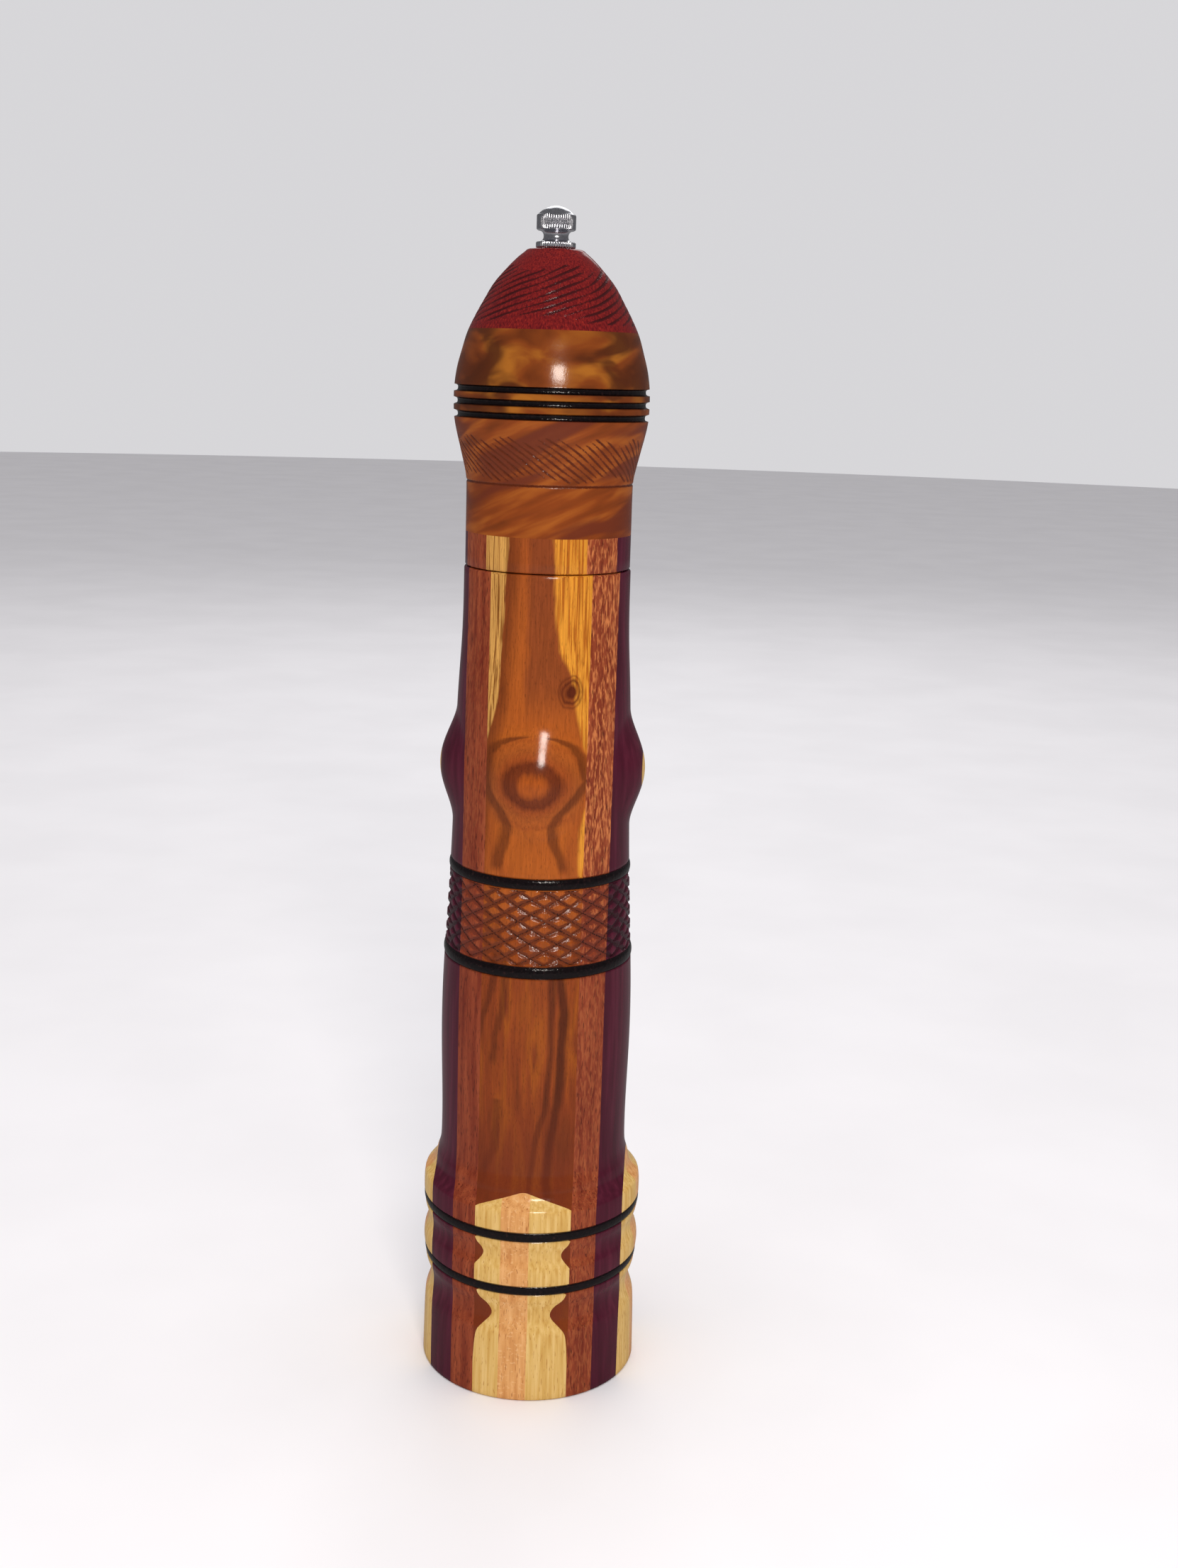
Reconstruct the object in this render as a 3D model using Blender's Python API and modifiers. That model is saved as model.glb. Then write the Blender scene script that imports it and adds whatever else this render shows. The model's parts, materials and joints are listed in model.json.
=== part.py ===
"""Tall turned pepper mill, in metres, +Z up.

The origin is the middle of the foot's underside, and the front knob faces -Y.

The barrel and the head are turned from a glued-up block: a core board, a board
of mahogany and one of purpleheart on each side of it, and maple and cherry
strips on the four faces of the foot. The steel mill works hang inside: a bar
across the foot carries the shaft, the rotor slides on the shaft's square part
inside the fixed stator, and a plate in the head turns the shaft. The nut on
top holds the head on and sets the grind.
"""
import bpy
from math import atan2, cos, hypot, pi, radians, sin
from mathutils import Vector

MM = 0.001
GAP = 0.3                      # clearance between touching pieces, mm
SEGMENTS = 40                  # facets round a turned piece; a multiple of 4
FINE_SEGMENTS = 24             # facets round a small turned piece

# Boards of the block, as distances from the axis, mm
CORE_X = 16.2
MAHOGANY_X = 24.4
PURPLEHEART_X = 32.8
FOOT_STRIP_Y = 33.8
FOOT_STRIP_TOP = 90.0
CHERRY_FROM = -7.2
CHERRY_TO = 2.4

# Barrel, mm: (height, radius) up the outside, from the underside to the top edge
BARREL_OUTLINE = [
    (0.0, 37.2), (0.8, 37.7), (16.7, 37.4), (23.4, 37.1), (26.7, 36.6),
    (29.2, 35.7), (32.0, 35.3), (34.8, 35.7), (37.4, 36.8), (42.0, 37.6),
    (46.8, 37.8), (50.0, 37.4), (52.0, 36.6), (53.8, 36.3), (55.4, 36.6),
    (57.2, 37.4), (61.0, 37.9), (66.0, 37.9), (69.7, 37.6), (72.8, 36.6),
    (75.9, 34.5), (78.0, 32.9), (82.0, 32.2), (96.0, 32.1), (120.0, 32.6),
    (136.0, 32.5), (152.0, 31.9), (166.0, 31.2), (182.0, 30.4), (196.0, 29.9),
    (201.0, 29.8), (206.0, 29.7), (211.0, 29.6), (216.0, 29.5), (221.0, 29.4),
    (226.0, 29.3), (231.0, 29.1), (236.0, 28.9), (246.0, 28.4), (258.0, 27.7),
    (268.0, 27.4), (281.4, 27.3), (282.0, 26.8)]
BARREL_TOP = BARREL_OUTLINE[-1][0]
BORE_R = 13.5                  # the pepper chamber
TOP_RECESS_R = 19.0            # takes the head's tenon
TOP_RECESS_FLOOR = 268.0
STATOR_SEAT_R = 19.0
STATOR_SEAT_ROOF = 30.3
FOOT_RECESS_R = 24.0
FOOT_RECESS_ROOF = 12.0

# Four domed knobs round the barrel
KNOB_HEIGHT = 216.0
KNOB_REACH = 20.0              # from the knob's middle to the end of its fillet
KNOB_RISE = 5.0
KNOB_TIP_X = 33.7              # maple shows past here on the side knobs

# Head, mm
HEAD_TURN = -5.0               # degrees that the head stands turned on the barrel
TURNING = ("ring_", "board_ring_", "head_", "drive_plate", "plate_", "square_hole",
           "shaft", "rotor", "adjusting_nut")
HEAD_HOLE_R = 4.2
TENON_R = 18.5
TENON_BOTTOM = 271.3
RING_BOTTOM = BARREL_TOP + GAP
RING_TOP = 293.3
RING_R = 27.0
COLLAR_TOP = 330.6
COLLAR_OUTLINE = [
    (293.6, 27.0), (309.0, 27.0), (313.0, 27.6), (318.5, 28.8), (324.0, 30.2),
    (329.4, 31.3), (329.7, 30.2)]
DOME_OUTLINE = [
    (331.7, 30.2), (332.0, 31.4), (333.5, 31.4), (333.8, 30.2), (335.6, 30.2),
    (335.9, 31.4), (337.5, 31.4), (337.8, 30.2), (339.6, 30.2), (339.9, 31.2),
    (345.4, 30.5), (350.6, 29.1), (354.0, 28.1), (356.8, 27.1)]
DOME_BOTTOM = COLLAR_TOP + GAP
DOME_TOP = DOME_OUTLINE[-1][0]
CAP_OUTLINE = [
    (357.1, 27.0), (361.1, 25.1), (366.2, 22.3), (371.4, 19.2), (376.4, 14.7),
    (379.6, 11.4), (381.4, 9.4), (382.0, 8.6)]
HEAD_TOP = CAP_OUTLINE[-1][0]

# Mill works, mm
SHAFT_SIDE = 5.6               # across the flats of the square shaft
SQUARE_HOLE = SHAFT_SIDE + 0.4
SQUARE_BOTTOM = 12.0
SQUARE_TOP = 352.0
JOURNAL_R = 2.3
SHAFT_END_R = 3.6
SHAFT_END_BOTTOM = 7.4
STUD_R = 2.4
STUD_TOP = 391.0
BAR_BOTTOM = 9.7
BAR_TOP = 11.7
BAR_WIDTH = 8.0
BAR_HALF_LENGTH = 23.4
BAR_HOLE_R = 2.7
BAR_SCREW_Y = 21.3
STATOR_R = 18.7
STATOR_BOTTOM = 12.3
STATOR_TOP = 30.0
ROTOR_BOTTOM = 18.0
ROTOR_TOP = 30.0
SPRING_R = 4.9
SPRING_WIRE_R = 0.45
SPRING_TURNS = 4
SPRING_STEPS = 10              # points in a turn
PLATE_R = 15.5
PLATE_BOTTOM = 269.4
PLATE_TOP = 271.0
PLATE_SCREW_X = 9.8
SCREW_HEAD_R = 2.4
SCREW_HEAD_THICK = 1.6
SCREW_SHANK_R = 1.2
SCREW_HOLE_R = 1.5
SCREW_LENGTH = 9.0
NUT_OUTLINE = [
    (382.3, 6.0), (382.5, 6.3), (384.2, 6.3), (384.4, 4.6), (386.0, 3.9),
    (387.7, 4.6), (388.0, 6.2), (392.6, 6.2), (394.0, 4.9), (395.0, 2.6)]
NUT_TOP = 395.4
NUT_HOLE_R = 2.7
NUT_HOLE_ROOF = 391.6

BIG = 60.0                     # a size past every wooden piece, mm


def start():
    """Empty the scene and make one collection for parts and one for cutters."""
    for old in list(bpy.data.objects):
        bpy.data.objects.remove(old, do_unlink=True)
    made = []
    for name in ("pepper_mill", "cutters"):
        group = bpy.data.collections.new(name)
        bpy.context.scene.collection.children.link(group)
        made.append(group)
    return made


PARTS, CUTTERS = start()


def finish(name, hex_color, roughness, metallic=0.0):
    """A plain Principled material of one colour."""
    made = bpy.data.materials.new(name)
    made.use_nodes = True
    shader = made.node_tree.nodes["Principled BSDF"]
    srgb = [int(hex_color[i:i + 2], 16) / 255 for i in (1, 3, 5)]
    linear = [c / 12.92 if c <= 0.04045 else ((c + 0.055) / 1.055) ** 2.4 for c in srgb]
    shader.inputs["Base Color"].default_value = (*linear, 1.0)
    shader.inputs["Roughness"].default_value = roughness
    shader.inputs["Metallic"].default_value = metallic
    made.diffuse_color = (*linear, 1.0)
    return made


CORE_WOOD = finish("walnut_core", "#A0561A", 0.3)
MAHOGANY = finish("mahogany", "#7E3824", 0.35)
PURPLEHEART = finish("purpleheart", "#451A26", 0.35)
MAPLE = finish("maple", "#DCB05C", 0.3)
CHERRY = finish("cherry", "#C88444", 0.35)
BLOODWOOD = finish("bloodwood", "#74201E", 0.35)
DOME_WOOD = finish("dome_walnut", "#8C5018", 0.3)
COLLAR_WOOD = finish("collar_walnut", "#95501C", 0.3)
CHROME = finish("chrome", "#D8D8DC", 0.08, 1.0)
STEEL = finish("steel", "#9A9C9E", 0.35, 1.0)
HARD_STEEL = finish("hardened_steel", "#6E6E70", 0.45, 1.0)


def link(mesh, name, group, look=None):
    """Put a mesh in the scene as an object of this name."""
    made = bpy.data.objects.new(name, mesh)
    group.objects.link(made)
    if look:
        mesh.materials.clear()
        mesh.materials.append(look)
    return made


def evaluated_mesh(source):
    """The mesh that an object's modifiers or curve make, and drop the object."""
    bpy.context.view_layer.update()
    graph = bpy.context.evaluated_depsgraph_get()
    mesh = bpy.data.meshes.new_from_object(source.evaluated_get(graph))
    bpy.data.objects.remove(source, do_unlink=True)
    return mesh


def turned(name, outline, group, look=None, closed=True, segments=SEGMENTS):
    """Turn a profile about Z. Points are (height, radius) in mm, in the order that
    runs down the outer side; an open profile starts and ends on the axis."""
    mesh = bpy.data.meshes.new(name)
    points = [(r * MM, 0.0, z * MM) for z, r in outline]
    edges = [(i, i + 1) for i in range(len(points) - 1)]
    if closed:
        edges.append((len(points) - 1, 0))
    mesh.from_pydata(points, edges, [])
    made = link(mesh, name, group, look)
    screw = made.modifiers.new("turn", 'SCREW')
    screw.axis = 'Z'
    screw.steps = segments
    screw.render_steps = segments
    screw.use_merge_vertices = True
    screw.merge_threshold = 0.00001
    screw.use_smooth_shade = True
    return made


def tube_outline(outer, inner):
    """Down the outside and back up the inside of a hollow turned piece."""
    return list(reversed(outer)) + list(inner)


def move_to(made, group):
    """Take an object out of every collection and put it in this one."""
    for old in list(made.users_collection):
        old.objects.unlink(made)
    group.objects.link(made)


def as_cutter(made):
    """Keep an object for cutting only."""
    made.hide_render = True
    made.display_type = 'WIRE'
    return made


def box_cutter(name, low, high):
    """A box between two corners in mm."""
    middle = [(a + b) / 2 * MM for a, b in zip(low, high)]
    bpy.ops.mesh.primitive_cube_add(size=1.0, location=middle)
    made = bpy.context.active_object
    made.name = name
    made.scale = [(b - a) * MM for a, b in zip(low, high)]
    bpy.ops.object.transform_apply(location=True, rotation=False, scale=True)
    move_to(made, CUTTERS)
    return as_cutter(made)


def rod_cutter(name, radius, bottom, top, x=0.0, y=0.0):
    """A round rod standing along Z, in mm."""
    bpy.ops.mesh.primitive_cylinder_add(
        vertices=16, radius=radius * MM, depth=(top - bottom) * MM,
        location=(x * MM, y * MM, (top + bottom) / 2 * MM))
    made = bpy.context.active_object
    made.name = name
    bpy.ops.object.transform_apply(location=True, rotation=False, scale=False)
    move_to(made, CUTTERS)
    return as_cutter(made)


def cut(made, operation, tool):
    """Add one Boolean to an object."""
    boolean = made.modifiers.new(tool.name, 'BOOLEAN')
    boolean.operation = operation
    boolean.solver = 'EXACT'
    boolean.object = tool


def soften(mesh):
    """Round surfaces smooth, corners sharp."""
    mesh.shade_smooth()
    mesh.set_sharp_from_angle(angle=0.5)


def board(name, blank, look, low, high, holes=()):
    """One timber of a turned block: the part of the blank between two corners."""
    made = link(blank.copy(), name, PARTS, look)
    cut(made, 'INTERSECT', box_cutter("board_" + name, low, high))
    for tool in holes:
        cut(made, 'DIFFERENCE', tool)
    return made


def raise_knobs(mesh):
    """Push the barrel's surface out into four domes, front, right, back and left."""
    for vertex in mesh.vertices:
        x, y, z = (c / MM for c in vertex.co)
        radius = hypot(x, y)
        if radius < TOP_RECESS_R + 1:
            continue
        angle = atan2(y, x)
        nearest = round(angle / (pi / 2)) * pi / 2
        off = hypot(radius * (angle - nearest), z - KNOB_HEIGHT) / KNOB_REACH
        if off < 1:
            grown = radius + KNOB_RISE * (1 - off * off) ** 2
            vertex.co.x = grown * cos(angle) * MM
            vertex.co.y = grown * sin(angle) * MM


def make_barrel():
    """The barrel's boards and the strips and tips let into its faces."""
    inside = [
        (0.0, FOOT_RECESS_R), (FOOT_RECESS_ROOF, FOOT_RECESS_R),
        (FOOT_RECESS_ROOF, STATOR_SEAT_R), (STATOR_SEAT_ROOF, STATOR_SEAT_R),
        (STATOR_SEAT_ROOF, BORE_R), (TOP_RECESS_FLOOR, BORE_R),
        (TOP_RECESS_FLOOR, TOP_RECESS_R), (BARREL_TOP, TOP_RECESS_R)]
    blank = evaluated_mesh(turned("barrel_blank", tube_outline(BARREL_OUTLINE, inside), CUTTERS))
    raise_knobs(blank)
    soften(blank)

    half = GAP / 2
    strips = [
        box_cutter("front_strip_space", (-BIG, -BIG, -BIG),
                   (BIG, half - FOOT_STRIP_Y, FOOT_STRIP_TOP)),
        box_cutter("back_strip_space", (-BIG, FOOT_STRIP_Y - half, -BIG),
                   (BIG, BIG, FOOT_STRIP_TOP))]
    screws = [
        rod_cutter("bar_screw_hole_%d" % i, SCREW_HOLE_R, FOOT_RECESS_ROOF - 1,
                   BAR_BOTTOM + SCREW_LENGTH + GAP, y=side * BAR_SCREW_Y)
        for i, side in enumerate((-1, 1))]
    board("body_core", blank, CORE_WOOD,
          (half - CORE_X, -BIG, -BIG), (CORE_X - half, BIG, 10 * BIG), strips + screws)

    for side, name in ((-1, "left"), (1, "right")):
        def between(inner, outer, y_low=-BIG, y_high=BIG, z_low=-BIG, z_high=10 * BIG):
            """Corners of a slab that stands on one side of the axis."""
            xs = sorted((side * (inner + half), side * (outer - half)))
            return (xs[0], y_low, z_low), (xs[1], y_high, z_high)

        board("body_mahogany_" + name, blank, MAHOGANY, *between(CORE_X, MAHOGANY_X))
        purple = board("body_purpleheart_" + name, blank, PURPLEHEART,
                       *between(MAHOGANY_X, BIG))
        cut(purple, 'DIFFERENCE', box_cutter(
            "foot_plate_space_" + name, *between(PURPLEHEART_X - GAP, BIG, z_high=FOOT_STRIP_TOP)))
        cut(purple, 'DIFFERENCE', box_cutter(
            "knob_tip_space_" + name, *between(KNOB_TIP_X - GAP, BIG, z_low=FOOT_STRIP_TOP)))
        board("knob_tip_" + name, blank, MAPLE,
              *between(KNOB_TIP_X, BIG, z_low=FOOT_STRIP_TOP))
        for strip, look, y_low, y_high in foot_strips("front", "back"):
            board("foot_%s_%s" % (name, strip), blank, look,
                  *between(PURPLEHEART_X, BIG, y_low, y_high, z_high=FOOT_STRIP_TOP))

    for face, side in (("front", -1), ("back", 1)):
        ys = sorted((side * (FOOT_STRIP_Y + half), side * BIG))
        for strip, look, x_low, x_high in foot_strips("left", "right"):
            x_low = max(x_low, half - CORE_X)
            x_high = min(x_high, CORE_X - half)
            board("foot_%s_%s" % (face, strip), blank, look,
                  (x_low, ys[0], -BIG), (x_high, ys[1], FOOT_STRIP_TOP))


def foot_strips(first, last):
    """Maple, cherry and maple, side by side along one face of the foot."""
    half = GAP / 2
    return [("maple_" + first, MAPLE, -BIG, CHERRY_FROM - half),
            ("cherry", CHERRY, CHERRY_FROM + half, CHERRY_TO - half),
            ("maple_" + last, MAPLE, CHERRY_TO + half, BIG)]


def make_head():
    """The head's laminated ring with its tenon, then collar, dome and cap."""
    half = GAP / 2
    ring_outer = [(TENON_BOTTOM, TENON_R), (RING_BOTTOM, TENON_R), (RING_BOTTOM, RING_R - 0.4),
                  (RING_BOTTOM + 0.5, RING_R), (RING_TOP, RING_R)]
    ring_inner = [(TENON_BOTTOM, HEAD_HOLE_R), (RING_TOP, HEAD_HOLE_R)]
    blank = evaluated_mesh(turned("ring_blank", tube_outline(ring_outer, ring_inner), CUTTERS))
    soften(blank)
    screws = [
        rod_cutter("plate_screw_hole_%d" % i, SCREW_HOLE_R, TENON_BOTTOM - 1,
                   PLATE_BOTTOM + SCREW_LENGTH + GAP, x=side * PLATE_SCREW_X)
        for i, side in enumerate((-1, 1))]
    board("ring_core", blank, CORE_WOOD,
          (half - CORE_X, -BIG, 0), (CORE_X - half, BIG, 10 * BIG), screws)
    for side, name in ((-1, "left"), (1, "right")):
        for wood, look, inner, outer in (("mahogany", MAHOGANY, CORE_X, MAHOGANY_X),
                                         ("purpleheart", PURPLEHEART, MAHOGANY_X, BIG)):
            xs = sorted((side * (inner + half), side * (outer - half)))
            board("ring_%s_%s" % (wood, name), blank, look,
                  (xs[0], -BIG, 0), (xs[1], BIG, 10 * BIG))

    collar_inner = [(COLLAR_OUTLINE[0][0], HEAD_HOLE_R), (COLLAR_TOP, HEAD_HOLE_R)]
    turned("head_collar", tube_outline(COLLAR_OUTLINE + [(COLLAR_TOP, 30.2)], collar_inner),
           PARTS, COLLAR_WOOD)
    dome_inner = [(DOME_BOTTOM, HEAD_HOLE_R), (DOME_TOP, HEAD_HOLE_R)]
    turned("head_dome", tube_outline([(DOME_BOTTOM, 30.2)] + DOME_OUTLINE, dome_inner),
           PARTS, DOME_WOOD)
    cap_inner = [(CAP_OUTLINE[0][0], HEAD_HOLE_R), (HEAD_TOP, HEAD_HOLE_R)]
    turned("head_cap", tube_outline(CAP_OUTLINE, cap_inner), PARTS, BLOODWOOD)


def make_screw(name, x, y, head_bottom):
    """A pan-head screw that points up."""
    head_top = head_bottom + SCREW_HEAD_THICK
    tip = head_top + SCREW_LENGTH
    outline = [(tip, 0.0), (tip - 2.4, SCREW_SHANK_R), (head_top, SCREW_SHANK_R),
               (head_top, SCREW_HEAD_R), (head_bottom + 0.5, SCREW_HEAD_R),
               (head_bottom, SCREW_HEAD_R - 0.8), (head_bottom, 0.0)]
    made = turned(name, outline, PARTS, STEEL, closed=False, segments=12)
    made.location = (x * MM, y * MM, 0.0)


def make_works():
    """Bar, stator, rotor, spring, shaft, turning plate and their screws."""
    bar = box_cutter("crossbar", (-BAR_WIDTH / 2, -BAR_HALF_LENGTH, BAR_BOTTOM),
                     (BAR_WIDTH / 2, BAR_HALF_LENGTH, BAR_TOP))
    show_part(bar, STEEL)
    round_ends = bar.modifiers.new("corners", 'BEVEL')
    round_ends.width = 0.6 * MM
    round_ends.segments = 2
    cut(bar, 'DIFFERENCE', rod_cutter("bar_shaft_hole", BAR_HOLE_R, 0, 20))
    for side, name in ((-1, "front"), (1, "back")):
        cut(bar, 'DIFFERENCE', rod_cutter("bar_hole_" + name, SCREW_HOLE_R, 0, 20,
                                          y=side * BAR_SCREW_Y))
        make_screw("crossbar_screw_" + name, 0.0, side * BAR_SCREW_Y,
                   BAR_BOTTOM - GAP - SCREW_HEAD_THICK)

    stator_outer = [(STATOR_BOTTOM, STATOR_R), (STATOR_TOP, STATOR_R)]
    stator_inner = [(STATOR_BOTTOM, 14.0), (17.0, 14.0), (17.0, 11.2), (22.0, 11.2),
                    (STATOR_TOP, 13.3)]
    turned("stator", tube_outline(stator_outer, stator_inner), PARTS, HARD_STEEL)

    hole = SQUARE_HOLE / 2
    square = box_cutter("square_hole", (-hole, -hole, 0), (hole, hole, 10 * BIG))
    rotor_outline = [(ROTOR_TOP, 0.0), (ROTOR_TOP, 7.6), (23.0, 10.2), (19.0, 10.6),
                     (ROTOR_BOTTOM, 10.2), (ROTOR_BOTTOM, 0.0)]
    rotor = turned("rotor", rotor_outline, PARTS, HARD_STEEL, closed=False,
                   segments=FINE_SEGMENTS)
    cut(rotor, 'DIFFERENCE', square)

    plate_outline = [(PLATE_TOP, 0.0), (PLATE_TOP, PLATE_R), (PLATE_BOTTOM, PLATE_R),
                     (PLATE_BOTTOM, 0.0)]
    plate = turned("drive_plate", plate_outline, PARTS, STEEL, closed=False)
    cut(plate, 'DIFFERENCE', square)
    for side, name in ((-1, "left"), (1, "right")):
        cut(plate, 'DIFFERENCE', rod_cutter("plate_hole_" + name, SCREW_HOLE_R,
                                            PLATE_BOTTOM - 1, PLATE_TOP + 1,
                                            x=side * PLATE_SCREW_X))
        make_screw("drive_plate_screw_" + name, side * PLATE_SCREW_X, 0.0,
                   PLATE_BOTTOM - GAP - SCREW_HEAD_THICK)

    flat = SHAFT_SIDE / 2
    shaft = box_cutter("shaft", (-flat, -flat, SQUARE_BOTTOM), (flat, flat, SQUARE_TOP))
    show_part(shaft, STEEL)
    journal = [(SQUARE_BOTTOM + 1, 0.0), (SQUARE_BOTTOM + 1, JOURNAL_R),
               (BAR_BOTTOM - GAP, JOURNAL_R), (BAR_BOTTOM - GAP, SHAFT_END_R),
               (SHAFT_END_BOTTOM, SHAFT_END_R), (SHAFT_END_BOTTOM, 0.0)]
    stud = [(STUD_TOP, 0.0), (STUD_TOP, STUD_R - 0.4), (STUD_TOP - 0.4, STUD_R),
            (SQUARE_TOP - 1, STUD_R), (SQUARE_TOP - 1, 0.0)]
    for name, outline in (("shaft_journal", journal), ("shaft_stud", stud)):
        end = turned(name, outline, CUTTERS, closed=False, segments=16)
        cut(shaft, 'UNION', as_cutter(end))

    make_spring()


def show_part(made, look):
    """Move an object from the cutters to the parts."""
    move_to(made, PARTS)
    made.hide_render = False
    made.display_type = 'TEXTURED'
    made.data.materials.clear()
    made.data.materials.append(look)


def make_spring():
    """A short coil spring between the bar and the rotor."""
    low = BAR_TOP + GAP + SPRING_WIRE_R
    high = ROTOR_BOTTOM - GAP - SPRING_WIRE_R
    count = SPRING_TURNS * SPRING_STEPS
    curve = bpy.data.curves.new("rotor_spring", 'CURVE')
    curve.dimensions = '3D'
    curve.bevel_depth = SPRING_WIRE_R * MM
    curve.bevel_resolution = 2
    curve.use_fill_caps = True
    spline = curve.splines.new('POLY')
    spline.points.add(count)
    for i in range(count + 1):
        turn = 2 * pi * i / SPRING_STEPS
        height = low + (high - low) * i / count
        spot = Vector((SPRING_R * cos(turn), SPRING_R * sin(turn), height)) * MM
        spline.points[i].co = (*spot, 1.0)
    wire = bpy.data.objects.new("rotor_spring_wire", curve)
    PARTS.objects.link(wire)
    mesh = evaluated_mesh(wire)
    made = link(mesh, "rotor_spring", PARTS, STEEL)
    weld = made.modifiers.new("weld caps", 'WELD')
    weld.merge_threshold = 0.00001


def make_nut():
    """The adjusting nut on top, with a blind hole for the stud."""
    outline = [(NUT_TOP, 0.0)] + list(reversed(NUT_OUTLINE)) + [
        (NUT_OUTLINE[0][0], NUT_HOLE_R), (NUT_HOLE_ROOF, NUT_HOLE_R), (NUT_HOLE_ROOF, 0.0)]
    turned("adjusting_nut", outline, PARTS, CHROME, closed=False, segments=32)


def turn_head():
    """Hang the head, and all that turns with it, on one axis and turn that a little."""
    axis = bpy.data.objects.new("turning_axis", None)
    PARTS.objects.link(axis)
    axis.rotation_euler.z = radians(HEAD_TURN)
    for made in list(PARTS.objects) + list(CUTTERS.objects):
        if made.name.startswith(TURNING):
            made.parent = axis


make_barrel()
make_head()
make_works()
make_nut()
turn_head()
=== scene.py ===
# %% [markdown]
# # A turned pepper mill
# The mill was glued up from boards of several timbers, turned between centres, carved in three
# places, burnt black along its fine lines and lacquered. The frame below holds the working parts
# at their real sizes. This script turns the same shapes again with a far finer surface, splits
# them into the same boards, and gives each timber its own figure.

# %% Load the frame
import json
from math import atan2, cos, hypot, pi, radians, sin, sqrt

import bmesh
import bpy
from mathutils import Matrix, Vector


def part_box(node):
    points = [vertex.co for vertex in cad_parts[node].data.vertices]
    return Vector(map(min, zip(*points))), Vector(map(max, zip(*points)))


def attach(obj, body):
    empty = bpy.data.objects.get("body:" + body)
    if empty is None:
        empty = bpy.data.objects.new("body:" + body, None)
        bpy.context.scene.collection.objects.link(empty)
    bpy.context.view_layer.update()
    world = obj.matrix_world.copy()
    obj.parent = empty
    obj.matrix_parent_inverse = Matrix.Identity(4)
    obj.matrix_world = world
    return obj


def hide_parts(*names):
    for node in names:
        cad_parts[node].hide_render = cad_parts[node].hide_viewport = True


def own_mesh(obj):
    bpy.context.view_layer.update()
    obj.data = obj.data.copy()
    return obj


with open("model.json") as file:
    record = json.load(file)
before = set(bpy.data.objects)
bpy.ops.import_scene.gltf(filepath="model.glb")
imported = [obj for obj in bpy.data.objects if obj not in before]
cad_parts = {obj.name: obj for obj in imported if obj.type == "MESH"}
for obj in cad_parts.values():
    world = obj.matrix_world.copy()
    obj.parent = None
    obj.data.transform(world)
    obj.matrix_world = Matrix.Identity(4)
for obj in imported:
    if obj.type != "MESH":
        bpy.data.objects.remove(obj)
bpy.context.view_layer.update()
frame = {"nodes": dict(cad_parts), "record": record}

# %% [markdown]
# ## Units and small helpers
# Every size below is in millimetres, as on a turner's drawing, and MM turns it into metres. An
# operator works on whatever is selected, so `only_nothing` clears the selection before a primitive
# is added, and `only` leaves one object selected and active before it is changed.

# %% Helpers
MM = 0.001


def only_nothing():
    """Leave edit mode with nothing selected."""
    if bpy.context.object and bpy.context.object.mode != 'OBJECT':
        bpy.ops.object.mode_set(mode='OBJECT')
    bpy.ops.object.select_all(action='DESELECT')


def only(piece):
    """Leave edit mode and make this the one selected and active object."""
    only_nothing()
    piece.select_set(True)
    bpy.context.view_layer.objects.active = piece
    return piece


def copy_of(piece, name):
    """Another object of the same shape, with a mesh of its own."""
    only(piece)
    bpy.ops.object.duplicate(linked=False)
    made = bpy.context.object
    made.name = name
    made.data.name = name
    return made


def open_edges(piece):
    """How many edges don't have exactly two faces; none on a closed piece."""
    shape = bmesh.new()
    shape.from_mesh(piece.data)
    count = sum(len(edge.link_faces) != 2 for edge in shape.edges)
    shape.free()
    return count


# %% [markdown]
# ## Camera
# A person sits at a table and looks slightly down at the mill from about 60 cm, a little to its
# right. The camera is set from that distance and three angles, so that the perspective on the
# rings is the real one. It is made first, so that every later step can be looked at.

# %% Camera
EYE_DISTANCE = 597.2           # level distance from the mill's axis
EYE_HEIGHT = 346.7             # above the table
EYE_SIDE = radians(4.5)        # how far round to the right of the front knob
EYE_YAW = radians(-2.98)
EYE_PITCH = radians(-12.97)
EYE_ROLL = radians(1.81)


def camera_axes(yaw, pitch, roll):
    """Right, up and back directions of a camera turned by these angles."""
    ahead = Vector((sin(yaw) * cos(pitch), cos(yaw) * cos(pitch), sin(pitch)))
    level = Vector((cos(yaw), -sin(yaw), 0.0))
    above = level.cross(ahead)
    right = level * cos(roll) + above * sin(roll)
    up = above * cos(roll) - level * sin(roll)
    return right, up, -ahead


lens = bpy.data.cameras.new("camera")
lens.sensor_fit = 'VERTICAL'
lens.sensor_height = 36.0
lens.lens = 41.7
lens.clip_start = 0.01
camera = bpy.data.objects.new("camera", lens)
bpy.context.scene.collection.objects.link(camera)
spot = Vector((EYE_DISTANCE * sin(EYE_SIDE), -EYE_DISTANCE * cos(EYE_SIDE), EYE_HEIGHT)) * MM
turn = Matrix(camera_axes(EYE_YAW, EYE_PITCH, EYE_ROLL)).transposed().to_4x4()
camera.matrix_world = Matrix.Translation(spot) @ turn
bpy.context.scene.camera = camera
print("camera at", [round(v, 3) for v in spot])

# %% [markdown]
# ## Turning a shape
# On a lathe a shape is only its outline. Here the outline is a closed loop of points beside the
# axis, and the spin operator carries it round. Spinning the full turn at once is slow on so fine
# a surface, so an eighth is spun and then doubled three times by a copy turned beside it. A circle
# primitive gives the loop, because its points are already joined in a ring: they are only moved
# onto the outline. A curve through a few measured points gives the long flowing stretches.

# %% Outline and spin
AROUND = 512                   # facets round the barrel and head


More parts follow.
